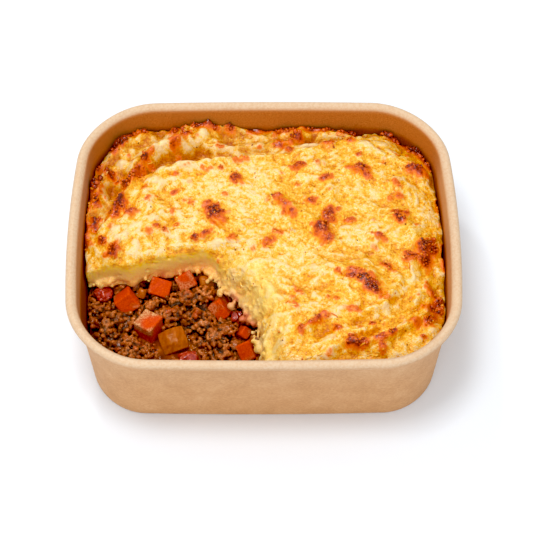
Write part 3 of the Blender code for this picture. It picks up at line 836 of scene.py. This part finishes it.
def mash_plan():
    """Over the plan: the mash's height, toast, gold and shade for its colour (both hold painted shade), and
    its relief.
    """
    x, y = PLAN_X, PLAN_Y
    combing = combing_angle()
    height, behind = mash_sweep()
    behind_terrace = smoothstep(behind, 0.5, 3.5) * smoothstep(x, 70, 30)

    # Toast: patches, the burnt edge by the wall, and further on the tips that stand up.
    toast, toast_lumps = toasted_patches()
    side = 0.55 + 0.5 * smoothstep(y, -50, 30)
    reach = 2.0 + 1.2 * smoothstep(y, 20, 50)
    patchy = smoothstep(plan_noise(3.0, 51) + 0.8 * plan_noise(8.0, 53), -1.1, 1.0)
    rim = np.exp(-(np.maximum(FROM_WALL, 0) / reach) ** 2) * side * patchy
    toast = 1 - (1 - toast) * (1 - 0.9 * rim)

    # Relief: ropes along the combing, curds, shreds of riced potato and toasted lumps.
    ropes = combed(plan_noise(3.8, 72), 7.0, combing)
    curds = combed(plan_noise(3.4, 73, lumps), 1.2, combing)
    small_curds = combed(plan_noise(2.4, 74, lumps), 1.2, combing)
    rough = np.clip(0.85 + 0.35 * plan_noise(16, 81), 0.4, 1.6) + 0.9 * behind_terrace
    granular = 1 - 0.15 * behind_terrace
    strokes = 0.88 + 0.4 * smoothstep(x, 0, 40) * smoothstep(y, 10, -30)
    relief = rough * (strokes * ropes + granular * (0.26 * curds + 0.24 * small_curds))
    relief += 0.9 * granular * shred_relief(combing)
    tips = smoothstep(relief - blurred(relief, CELL, 3.0), 0.8, 1.8)
    toast = 1 - (1 - toast) * (1 - 0.7 * tips * smoothstep(plan_noise(7, 75), -0.2, 1.2))
    relief += 4.0 * (1 - np.exp(-toast_lumps / 2.4)) + 1.0 * blurred(toast, CELL, 1.2)
    relief += 0.8 * np.exp(-(FROM_WALL / 2.5) ** 2) * plan_noise(2.2, 52)
    height += relief
    height = np.minimum(height, PEAKS_FROM + 0.4 * (height - PEAKS_FROM))

    # Colour: golden near toast, and golden as painted shade in hollows, valleys and at the terrace's foot;
    # the shade value is painted shade behind the terrace, at its foot, in valleys and in hollows.
    hollow = np.clip((blurred(relief, CELL, 2.2) - relief) / 0.7, -1.5, 1.5)
    fine_hollow = np.clip((blurred(relief, CELL, 0.8) - relief) / 0.3, -1.5, 1.5)
    valley = smoothstep(blurred(height, CELL, 7.0) - blurred(height, CELL, 1.5), 0.1, 1.6)
    halo = np.minimum(1.3 * blurred(toast, CELL, 2.2), 0.85)
    foot = np.exp(-((behind - 2.2) / 2.2) ** 2) * smoothstep(x, 60, 20)
    pale = (1 - 0.30 * behind_terrace) * (1 - 0.35 * foot) * (1 - 0.40 * valley) * (1 - halo)
    gold = 0.13 + 0.50 * (1 - pale) + (0.25 + 0.10 * behind_terrace) * hollow + 0.30 * fine_hollow
    gold += 0.12 * smoothstep(x, -35, 0) - 0.07 + 0.11 * smoothstep(x, 0, 60)
    gold += 0.10 * smoothstep(y, -20, -60) + 0.08 * plan_noise(9, 82)
    gold = np.minimum(gold, 0.55 + 0.35 * (gold - 0.55))
    gold += 0.07 * smoothstep(y, 12, 34) * (1 - behind_terrace)
    shade = behind_terrace * (0.20 + 0.50 * hollow) + 0.35 * foot + 0.25 * valley + 0.15 * fine_hollow
    return height, toast, gold, np.clip(shade, 0, 1), relief - blurred(relief, CELL, 6.0)


def cut_plan():
    """Over the plan: distance into the scoop at the filling's level, the cut's lean and place along it."""
    path = smooth_path(CUT_PATH, 6)
    distance, along = path_distance(path, PLAN_X, PLAN_Y)
    lean = np.interp(along, np.linspace(0, 1, len(path)), path[:, 2])
    return -distance, lean, along


def add_balls(field, low, cell, centres, radii, blend):
    """Merges balls into a distance field in place."""
    for centre, radius in zip(centres, radii):
        reach = radius + blend + 2 * cell
        start = np.maximum(((centre - reach - low) / cell).astype(int), 0)
        stop = np.minimum(((centre + reach - low) / cell).astype(int) + 2, field.shape)
        if (stop <= start).any():
            continue
        part = tuple(slice(a, b) for a, b in zip(start, stop))
        gx, gy, gz = [low[k] + cell * np.arange(start[k], stop[k]) - centre[k] for k in range(3)]
        squared = (gx ** 2)[:, None, None] + (gy ** 2)[None, :, None] + (gz ** 2)[None, None, :]
        field[part] = -smooth_max(-field[part], radius - np.sqrt(squared), blend)


def mash_surface(height, relief, into_scoop, lean, torn):
    """Points and faces of the mash, left open underneath for close_holes."""
    rng = np.random.default_rng(11)
    zs = np.arange(FILLING_TOP - 1.2, height.max() + 2 * CELL, CELL, dtype=np.float32)
    low = np.array((MASH_X[0], MASH_Y[0], zs[0]))
    z = zs[None, None, :]
    cut = (into_scoop - 0.9 * torn * relief)[..., None] + (lean / LEAN_HEIGHT)[..., None] * (z - FILLING_TOP)
    # The cut face is uneven, crumbly where it is torn, and ragged at its foot.
    band = np.abs(into_scoop) < 16
    i0, i1 = np.flatnonzero(band.any(1))[[0, -1]]
    j0, j1 = np.flatnonzero(band.any(0))[[0, -1]]
    part = (slice(i0, i1), slice(j0, j1))
    small = (i1 - i0, j1 - j0, len(zs))
    rough = 0.40 * smooth_noise(small, CELL, 5.0, 91) + 0.10 * lumps(small, CELL, 1.7, 92)
    foot = smoothstep(zs, FILLING_TOP + 3.5, FILLING_TOP)[None, None, :] + 0.25 * torn[part][..., None]
    crumbly = 0.40 * lumps(small, CELL, 2.6, 96) + 0.28 * lumps(small, CELL, 1.6, 97)
    cut[part] += 0.6 * rough + torn[part][..., None] * crumbly + 0.7 * foot * lumps(small, CELL, 3.8, 90)
    field = smooth_max(z - height[..., None], cut, (3.4 - 1.2 * torn)[..., None]).astype(np.float32)
    gap = np.clip(0.55 + 0.4 * plan_noise(5, 93) + 0.25 * plan_noise(1.8, 94), 0.3, 2.0)
    inside = (FROM_WALL - gap)[..., None] + BASE_INSET / BEAD_Z * (z - MASH_LEVEL)
    field = smooth_max(field, -inside, 0.9)

    # Grains of potato hang at the foot of the cut, and small holes are sunk in its face.
    path = smooth_path(CUT_PATH, 12)
    clusters = path[rng.integers(0, len(path), KNOB_CLUSTERS), :2] + rng.normal(0, 0.9, (KNOB_CLUSTERS, 2))
    picked = clusters[rng.integers(0, KNOB_CLUSTERS, KNOBS)]
    places = picked + rng.normal(0, 1.3, (KNOBS, 2))
    knobs = np.column_stack((places, FILLING_TOP + rng.uniform(-0.4, 2.4, KNOBS)))
    held = read_plan(FROM_WALL, knobs) > 2.2
    add_balls(field, low, CELL, knobs[held], (0.45 + rng.exponential(0.35, KNOBS))[held], 0.5)
    field = -field
    pits = np.array(PITS)
    add_balls(field, low, CELL, pits[:, :3], pits[:, 3], 0.3)
    field = -field

    floor = FILLING_TOP - 0.6 + 4.5 * smoothstep(-into_scoop, 9, 16)
    field = np.maximum(field, floor[..., None] - z)
    points, faces = largest_island(*surface_net(field, low, CELL))
    underneath = points[:, 2] - floor.max() < 0.3 * CELL
    return without_faces(points, faces, underneath & (read_plan(floor, points) > floor.max() - 0.1))


def build_mash():
    """The mash with its cut face, and the crumbs and shreds that lie on it."""
    height, toast, gold, shade, relief = mash_plan()
    into_scoop, lean, along = cut_plan()
    torn = smoothstep(along, 0.5, 0.62)
    lean = lean * (0.35 + 0.65 * torn)
    # The mash sinks towards the cut, most where it is torn.
    height = height - (3.0 - 2.0 * torn) * smoothstep(-into_scoop, 13, 0)
    height = height - 5.2 * torn * smoothstep(-into_scoop, 12, -1)
    points, faces = mash_surface(height, relief, into_scoop, lean, torn)

    px, py, pz = points.T
    below = read_plan(height, points) - pz
    into = read_plan(into_scoop, points)
    into = into + read_plan(lean, points) * (pz - FILLING_TOP) / LEAN_HEIGHT
    worn = read_plan(torn, points)
    on_cut = smoothstep(into, -3.6, 0.4) * smoothstep(below, 0.3, 3.0)
    slumped = smoothstep(into, -11, -1) * (0.75 + 0.25 * read_plan(plan_noise(3.0, 98), points))
    on_cut = np.maximum(on_cut, worn * slumped)
    golden_edge = np.exp(-((below - 1.1) / 1.0) ** 2) * smoothstep(into, -4, -1) * (1 - worn)
    near_sauce = sum(np.exp(-((px - x) ** 2 + (py - y) ** 2) / r ** 2) for x, y, r in STAINS)
    blotches = 0.55 + 0.45 * read_plan(plan_noise(2.2, 95), points)
    stain = smoothstep(pz, 35, 28) * near_sauce * blotches
    potato = mash_finish()
    # Gold and shade carry painted shade onto the mash's points.
    mash = make_piece("mash", points, faces, potato, "mashed_potato",
                      toast=read_plan(toast, points) * (1 - 0.9 * on_cut),
                      gold=read_plan(gold, points) + 0.45 * golden_edge,
                      shade=read_plan(shade, points) * (1 - on_cut),
                      cut=on_cut * (1 - 0.40 * worn), torn=worn, depth=np.clip(below / 14, 0, 1),
                      stain=np.clip(stain, 0, 0.85) * on_cut)
    close_holes(mash)
    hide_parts("mash_topping")
    build_crumbs(height, toast, into_scoop, potato)
    build_shreds(height, toast, into_scoop, potato)


def random_turns(rng, count):
    """Random rotation matrices."""
    a, b = rng.normal(size=(2, count, 3))
    a /= np.linalg.norm(a, axis=1)[:, None]
    b -= (a * b).sum(1)[:, None] * a
    b /= np.linalg.norm(b, axis=1)[:, None]
    return np.stack((a, b, np.cross(a, b)), 2)


def rough_grains(rng, centres, sizes):
    """Uneven grains at these centres: all their points, triangles and the grain each point is of."""
    bm = bmesh.new()
    bmesh.ops.create_icosphere(bm, subdivisions=2, radius=1)
    ball = np.array([v.co for v in bm.verts])
    triangles = np.array([[v.index for v in face.verts] for face in bm.faces])
    bm.free()
    count = len(centres)
    shape = ball[None] * (1 + 0.16 * rng.normal(size=(count, len(ball), 1)))
    shape = shape * rng.uniform(0.55, 1.15, (count, 1, 3))
    shape = np.einsum("nij,npj->npi", random_turns(rng, count), shape) * np.asarray(sizes)[:, None, None]
    points = (shape + centres[:, None]).reshape(-1, 3)
    faces = (triangles[None] + len(ball) * np.arange(count)[:, None, None]).reshape(-1, 3)
    return points, faces, np.repeat(np.arange(count), len(ball))


def build_crumbs(height, toast, scoop, potato):
    """Toasted granules on the browned patches and along the burnt edge by the wall."""
    rng = np.random.default_rng(41)
    heaps = 2.6 * smoothstep(plan_noise(5.0, 54), -1.0, 0.7)
    likely = toast ** 3 * (scoop < -3) * (FROM_WALL > 1.2) * np.where(FROM_WALL < 5, heaps, 1)
    picked = rng.choice(likely.size, CRUMBS, p=(likely / likely.sum()).ravel())
    specks = rng.choice(np.flatnonzero(((scoop < -1) & (FROM_WALL > 4)).ravel()), SPECKS)
    picked = np.concatenate((picked, specks))
    count = len(picked)
    is_speck = np.arange(count) >= CRUMBS
    x = PLAN_X.ravel()[picked] + rng.uniform(-0.3, 0.3, count)
    y = PLAN_Y.ravel()[picked] + rng.uniform(-0.3, 0.3, count)
    from_wall = FROM_WALL.ravel()[picked]
    at_edge = from_wall < 5
    size = rng.uniform(0.3, 0.8, count) * np.where(at_edge, 1.35 + 0.5 * (y > 30), 0.9)
    size = np.where(is_speck, rng.uniform(0.25, 0.45, count), size)
    size = np.minimum(size, (from_wall - 0.4) / 1.6)
    centres = np.column_stack((x, y, height.ravel()[picked] + rng.uniform(-0.1, 0.5, count) * size))
    points, faces, grain = rough_grains(rng, centres, size)
    browned = toast.ravel()[picked] * rng.uniform(0.35, 1.05, count) + 0.25 * at_edge * (y > 30)
    browned = np.where(is_speck, rng.uniform(0.55, 0.95, count), browned)
    make_piece("toasted_crumbs", points, faces, potato, "mashed_potato",
               toast=np.clip(browned, 0.2, 0.95)[grain], gold=np.full(len(points), 0.5))


def build_shreds(height, toast, scoop, potato):
    """Thin curved shreds of potato lying on the mash."""
    rng = np.random.default_rng(43)
    count, steps, sides = LOOSE_SHREDS, 7, 5
    picked = rng.choice(np.flatnonzero(((scoop < -4) & (FROM_WALL > 4)).ravel()), count)
    t = np.linspace(-0.5, 0.5, steps)
    length = rng.uniform(1.6, 4.5, count)
    heading = combing_angle().ravel()[picked] + rng.normal(0, 0.6, count)
    curl = rng.normal(0, 1.1, count)
    turn = heading[:, None] + curl[:, None] * t
    stride = (length / (steps - 1))[:, None]
    x = PLAN_X.ravel()[picked][:, None] + np.cumsum(np.cos(turn), 1) * stride
    y = PLAN_Y.ravel()[picked][:, None] + np.cumsum(np.sin(turn), 1) * stride
    z = read_plan(height, np.column_stack((x.ravel(), y.ravel()))).reshape(x.shape)
    z = z.mean(1)[:, None] * 0.3 + z * 0.7 + rng.uniform(-0.3, 0.1, (count, 1)) * (1 - (2 * t) ** 2)
    radius = rng.uniform(0.30, 0.50, (count, 1)) * (1 - 0.75 * (2 * np.abs(t)) ** 3)
    around = np.linspace(0, 2 * math.pi, sides, endpoint=False)
    side = np.stack((-np.sin(turn), np.cos(turn), np.zeros_like(turn)), -1)
    ring = (np.cos(around)[:, None] * side[:, :, None] + np.sin(around)[:, None] * np.array((0, 0, 1.0)))
    points = np.stack((x, y, z), -1)[:, :, None] + ring * radius[:, :, None, None]
    browned = toast.ravel()[picked]
    tint = rng.uniform(0.1, 0.5, count) + 0.5 * browned
    ends = 0.25 * np.abs(2 * t) ** 3
    burnt = rng.uniform(-0.5, 0.12, (count, 1)) + 0.9 * browned[:, None] + ends
    make_piece("potato_shreds", points.reshape(-1, 3), tube_faces(count, steps, sides), potato,
               "mashed_potato", toast=np.repeat(np.clip(burnt, 0, 0.7).ravel(), sides),
               gold=np.repeat(tint, steps * sides))


# ---- filling ----

def cad_tree(name):
    """A CAD node's faces in mm, for finding places on them."""
    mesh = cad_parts[name].data
    points = [v.co / MM for v in mesh.vertices]
    return BVHTree.FromPolygons(points, [tuple(p.vertices) for p in mesh.polygons])


def scoop_depth(x, y):
    """Distance into the scoop from the cut at the filling's level."""
    return -path_distance(smooth_path(CUT_PATH, 4), x, y)[0]


def mince_clumps(rng, cad_height):
    """Centres and radii of the grains: a clump is a ball with small grains all over it."""
    centres, radii = [], []
    step = CLUMP_SPACING
    for x, y in itertools.product(np.arange(-82, 6, step), np.arange(-68, 2, step)):
        x, y = x + rng.uniform(-0.45, 0.45) * step, y + rng.uniform(-0.45, 0.45) * step
        if scoop_depth(x, y) < -4.5:
            continue
        size = rng.uniform(2.6, 4.5)
        if wall_depth(x, y, CLUMP_LEVEL) < 0.6 * size + PAPER:
            continue
        z = cad_height(x, y) - 0.75 * size + rng.uniform(-0.3, 1.0)
        squeeze = np.array((rng.uniform(0.8, 1.25), rng.uniform(0.8, 1.25), rng.uniform(0.7, 0.95)))
        grains = int(3.0 * size * size)
        way = rng.normal(size=(grains, 3))
        way[:, 2] = np.abs(way[:, 2]) * 0.9 - 0.25
        way /= np.linalg.norm(way, axis=1)[:, None]
        spread = way * size * squeeze * rng.uniform(0.82, 1.05, (grains, 1))
        centres += [np.array((x, y, z)) + spread, np.array([[x, y, z]])]
        radii += [rng.uniform(0.55, 1.2, grains), np.array([0.80 * size])]
    return np.concatenate(centres), np.concatenate(radii)


def clear_of_dice(centres, radii, keep):
    """Keeps only grains that don't touch the upper part of a vegetable piece."""
    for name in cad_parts:
        if name.startswith(("carrot", "onion", "tomato")):
            dice = cad_tree(name)
            top = max(v.co.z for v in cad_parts[name].data.vertices) / MM
            for k in np.flatnonzero(keep & (centres[:, 2] > top - 7)):
                nearest = dice.find_nearest(Vector(centres[k]), radii[k] + 0.2)
                keep[k] = nearest[0] is None
    return keep


def build_mince():
    """Grains of mince on a body under the CAD's surface; also returns their distance field."""
    low = np.array(MINCE_CORNER)
    shape = tuple(int(n / MINCE_CELL) for n in MINCE_SIZE)
    xs, ys, zs = [low[k] + MINCE_CELL * np.arange(shape[k]) for k in range(3)]
    tree = cad_tree("mince_filling")

    def cad_height(x, y):
        hit = tree.ray_cast(Vector((x, y, 60)), Vector((0, 0, -1)))[0]
        return hit.z if hit is not None else POOL_LEVEL

    coarse = 1.5
    cx, cy = np.arange(-84, 8, coarse), np.arange(-70, 4, coarse)
    heights = np.array([[cad_height(a, b) for b in cy] for a in cx], np.float32)
    gx, gy = np.meshgrid(xs, ys, indexing="ij")
    base = interpolate(heights, ((gx - cx[0]) / coarse, (gy - cy[0]) / coarse))
    base = blurred(base, MINCE_CELL, 1.2) - BODY_BELOW + 0.5 * smooth_noise(gx.shape, MINCE_CELL, 2.5, 101)
    field = (zs[None, None, :] - base[..., None]).astype(np.float32)

    centres, radii = mince_clumps(np.random.default_rng(23), cad_height)
    keep = wall_depth(centres[:, 0], centres[:, 1], centres[:, 2]) - PAPER > radii
    keep &= centres[:, 2] + radii < FILLING_TOP + 2.5
    keep = clear_of_dice(centres, radii, keep)
    add_balls(field, low, MINCE_CELL, centres[keep], radii[keep], 0.18)
    pitted = 0.12 * smooth_noise(shape, MINCE_CELL, 2.0, 103)
    field += 0.10 * smooth_noise(shape, MINCE_CELL, 0.9, 102) + pitted
    inside = wall_depth(gx, gy, MINCE_LEVEL)[..., None] - PAPER - 0.3
    inside = inside + BASE_INSET / BEAD_Z * (zs - MINCE_LEVEL)
    field = np.maximum(field, -inside)
    field = np.maximum(field, (-MINCE_UNDER_MASH - scoop_depth(gx, gy))[..., None])
    field = np.maximum(field, MINCE_FLOOR - zs[None, None, :]).astype(np.float32)
    points, faces = largest_island(*surface_net(field, low, MINCE_CELL))
    points, faces = without_faces(points, faces, points[:, 2] < MINCE_FLOOR + 0.3 * MINCE_CELL)
    soft = blurred(np.clip(field, -2, 2), MINCE_CELL, 0.9)
    away = interpolate(soft, (points - low).T / MINCE_CELL)
    # Painted shade: hollow darkens the gaps between grains; the mince is also darker low down, towards the
    # gravy.
    hollow = np.clip(0.35 - away / 0.8, 0, 1)
    hollow = np.maximum(hollow, smoothstep(points[:, 2], 20.5, 17.8) * 0.7)
    mince = make_piece("mince", points, faces, mince_finish(), "minced_meat", hollow=hollow)
    close_holes(mince)
    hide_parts("mince_filling")
    return field, low


def build_gravy(field, low):
    """The pool of gravy in the scoop, drawn up a little where it meets the meat."""
    cell = MINCE_CELL
    level = int(round((POOL_LEVEL - low[2]) / cell))
    near = field[:, :, level]
    xs, ys = low[0] + cell * np.arange(near.shape[0]), low[1] + cell * np.arange(near.shape[1])
    gx, gy = np.meshgrid(xs, ys, indexing="ij")
    top = POOL_LEVEL + 0.55 * np.exp(-np.clip(near, 0, 9) / 0.45)
    allowed = (wall_depth(gx, gy, POOL_LEVEL) > PAPER + 0.35) & (scoop_depth(gx, gy) > -5) & (near > -1.2)
    index = np.arange(near.size).reshape(near.shape)
    quads = np.stack((index[:-1, :-1], index[1:, :-1], index[1:, 1:], index[:-1, 1:]), -1)
    faces = quads[allowed.ravel()[quads].all(-1)]
    points = np.column_stack((gx.ravel(), gy.ravel(), top.ravel()))
    points, faces = without_faces(points, faces, ~allowed.ravel())
    gravy = make_piece("gravy", points, faces, gravy_finish(), "minced_meat")
    thick = gravy.modifiers.new("thickness", "SOLIDIFY")
    thick.thickness = 0.8 * MM
    thick.offset = -1


def detailed_copy(node, roundness, depths, sizes, seed):
    """The CAD piece finely remeshed, softened and dented: points in mm, faces, nearness to an edge."""
    work = add_object("work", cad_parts[node].data.copy())
    remesh = work.modifiers.new("remesh", "REMESH")
    remesh.mode = "VOXEL"
    remesh.voxel_size = 0.3 * MM
    smooth = work.modifiers.new("smooth", "SMOOTH")
    smooth.iterations = roundness
    smooth.factor = 0.5
    made = work.evaluated_get(bpy.context.evaluated_depsgraph_get()).to_mesh()
    points, normals = np.zeros((2, len(made.vertices) * 3), np.float32)
    made.vertices.foreach_get("co", points)
    made.vertices.foreach_get("normal", normals)
    faces = [tuple(p.vertices) for p in made.polygons]
    points, normals = points.reshape(-1, 3) / MM, normals.reshape(-1, 3)
    bpy.data.objects.remove(work)
    low = points.min(0) - 1
    shape = [int(n / DICE_CELL) + 4 for n in points.max(0) + 1 - low]
    places = (points - low).T / DICE_CELL
    push = sum(depth * interpolate(smooth_noise(shape, DICE_CELL, size, seed + k), places)
               for k, (depth, size) in enumerate(zip(depths, sizes)))
    outward = points - points.mean(0)
    flat = np.abs((normals * outward).sum(1))
    edge = np.clip((np.linalg.norm(outward, axis=1) / np.maximum(flat, 0.1) - 1.25) / 0.5, 0, 1)
    return points + normals * push[:, None], faces, edge


def sauce_and_glints_on(points, seed, covered):
    """Gravy with painted glints on a carrot piece: drops here and there, or a coat over the top of a covered
    one.
    """
    side = 60
    spots = tuple(np.clip(((points - points.min(0)) / DICE_CELL).astype(int), 0, side - 1).T)
    drops = smooth_noise((side, side, side), DICE_CELL, 3.0, seed)[spots]
    if covered:
        return 0.85 * smoothstep(drops, -1.6, 0.2) * smoothstep(points[:, 2] - points[:, 2].mean(), 0, 3.5)
    return 0.4 * smoothstep(drops, 0.4, 1.6)


def build_dice():
    """Carrot, onion and tomato in place of the CAD's pieces."""
    # Ending of the name, finish, rounds of smoothing, depths and sizes of the dents.
    kinds = {
        "carrot": ("_dice", carrot_finish(), 3, (0.12, 0.04), (3.0, 0.9)),
        "onion": ("_petal", onion_finish(), 5, (0.07, 0.02), (3.0, 1.0)),
        "tomato": ("_lump", tomato_finish(), 4, (0.35, 0.18), (2.2, 0.9)),
    }
    for name in sorted(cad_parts):
        kind, _, number = name.partition("_")
        if kind not in kinds:
            continue
        ending, finish, roundness, depths, sizes = kinds[kind]
        seed = 200 + 7 * int(number)
        points, faces, edge = detailed_copy(name, roundness, depths, sizes, seed)
        # Carrots carry their edge value and their gravy with painted glints.
        looks = {"edge": edge, "sauce": sauce_and_glints_on(points, seed, name == SAUCED_AND_GLINTED)} if kind == "carrot" else {}
        piece = make_piece(name + ending, points, faces, finish, kind, **looks)
        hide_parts(name)


# ---- stage ----

def build_stage():
    """The plain pale floor."""
    floor_mesh = bpy.data.meshes.new("floor")
    corners = [(x * FLOOR_REACH, y * FLOOR_REACH, 0) for x, y in ((-1, -1), (1, -1), (1, 1), (-1, 1))]
    floor_mesh.from_pydata(corners, [], [(0, 1, 2, 3)])
    f = Finish("floor", Roughness=0.9, Specular_IOR_Level=0.1)
    floor_mesh.materials.append(f.finish(srgb(237, 243, 250)))
    floor = add_object("floor", floor_mesh)


def aim(piece, direction):
    piece.rotation_euler = Vector(direction).to_track_quat("-Z", "Y").to_euler()


def add_light(name, place, size, power):
    lamp = bpy.data.lights.new(name, "AREA")
    lamp.size = size
    lamp.energy = power
    piece = add_object(name, lamp)
    piece.location = place
    aim(piece, -Vector(place))


def build_light():
    """White sky light and the three soft lamps."""
    world = bpy.data.worlds.new("studio")
    world.use_nodes = True
    background = world.node_tree.nodes["Background"]
    background.inputs["Color"].default_value = (1, 1, 1, 1)
    background.inputs["Strength"].default_value = SKY_STRENGTH
    bpy.context.scene.world = world
    for light in LIGHTS:
        add_light(*light)


def build_camera():
    """The camera at the photo's angle, and the plain view of its colours."""
    camera = add_object("camera", bpy.data.cameras.new("camera"))
    camera.data.lens = LENS
    camera.data.sensor_width = SENSOR_WIDTH
    camera.data.clip_start = 0.01
    c, s = math.cos(CAMERA_ELEVATION), math.sin(CAMERA_ELEVATION)
    camera.location = (0, -CAMERA_DISTANCE * c, CAMERA_DISTANCE * s)
    forward = Vector((0, c, -s)) + Vector((AIM_RIGHT, 0, 0)) + AIM_UP * Vector((0, s, c))
    aim(camera, forward)
    bpy.context.scene.camera = camera
    view = bpy.context.scene.view_settings
    view.view_transform = "Standard"
    view.use_curve_mapping = True
    view.curve_mapping.black_level = [BLACK_LEVEL] * 3


def main():
    build_camera()
    build_stage()
    build_light()
    build_tub()
    build_mash()
    field, low = build_mince()
    build_gravy(field, low)
    build_dice()


main()
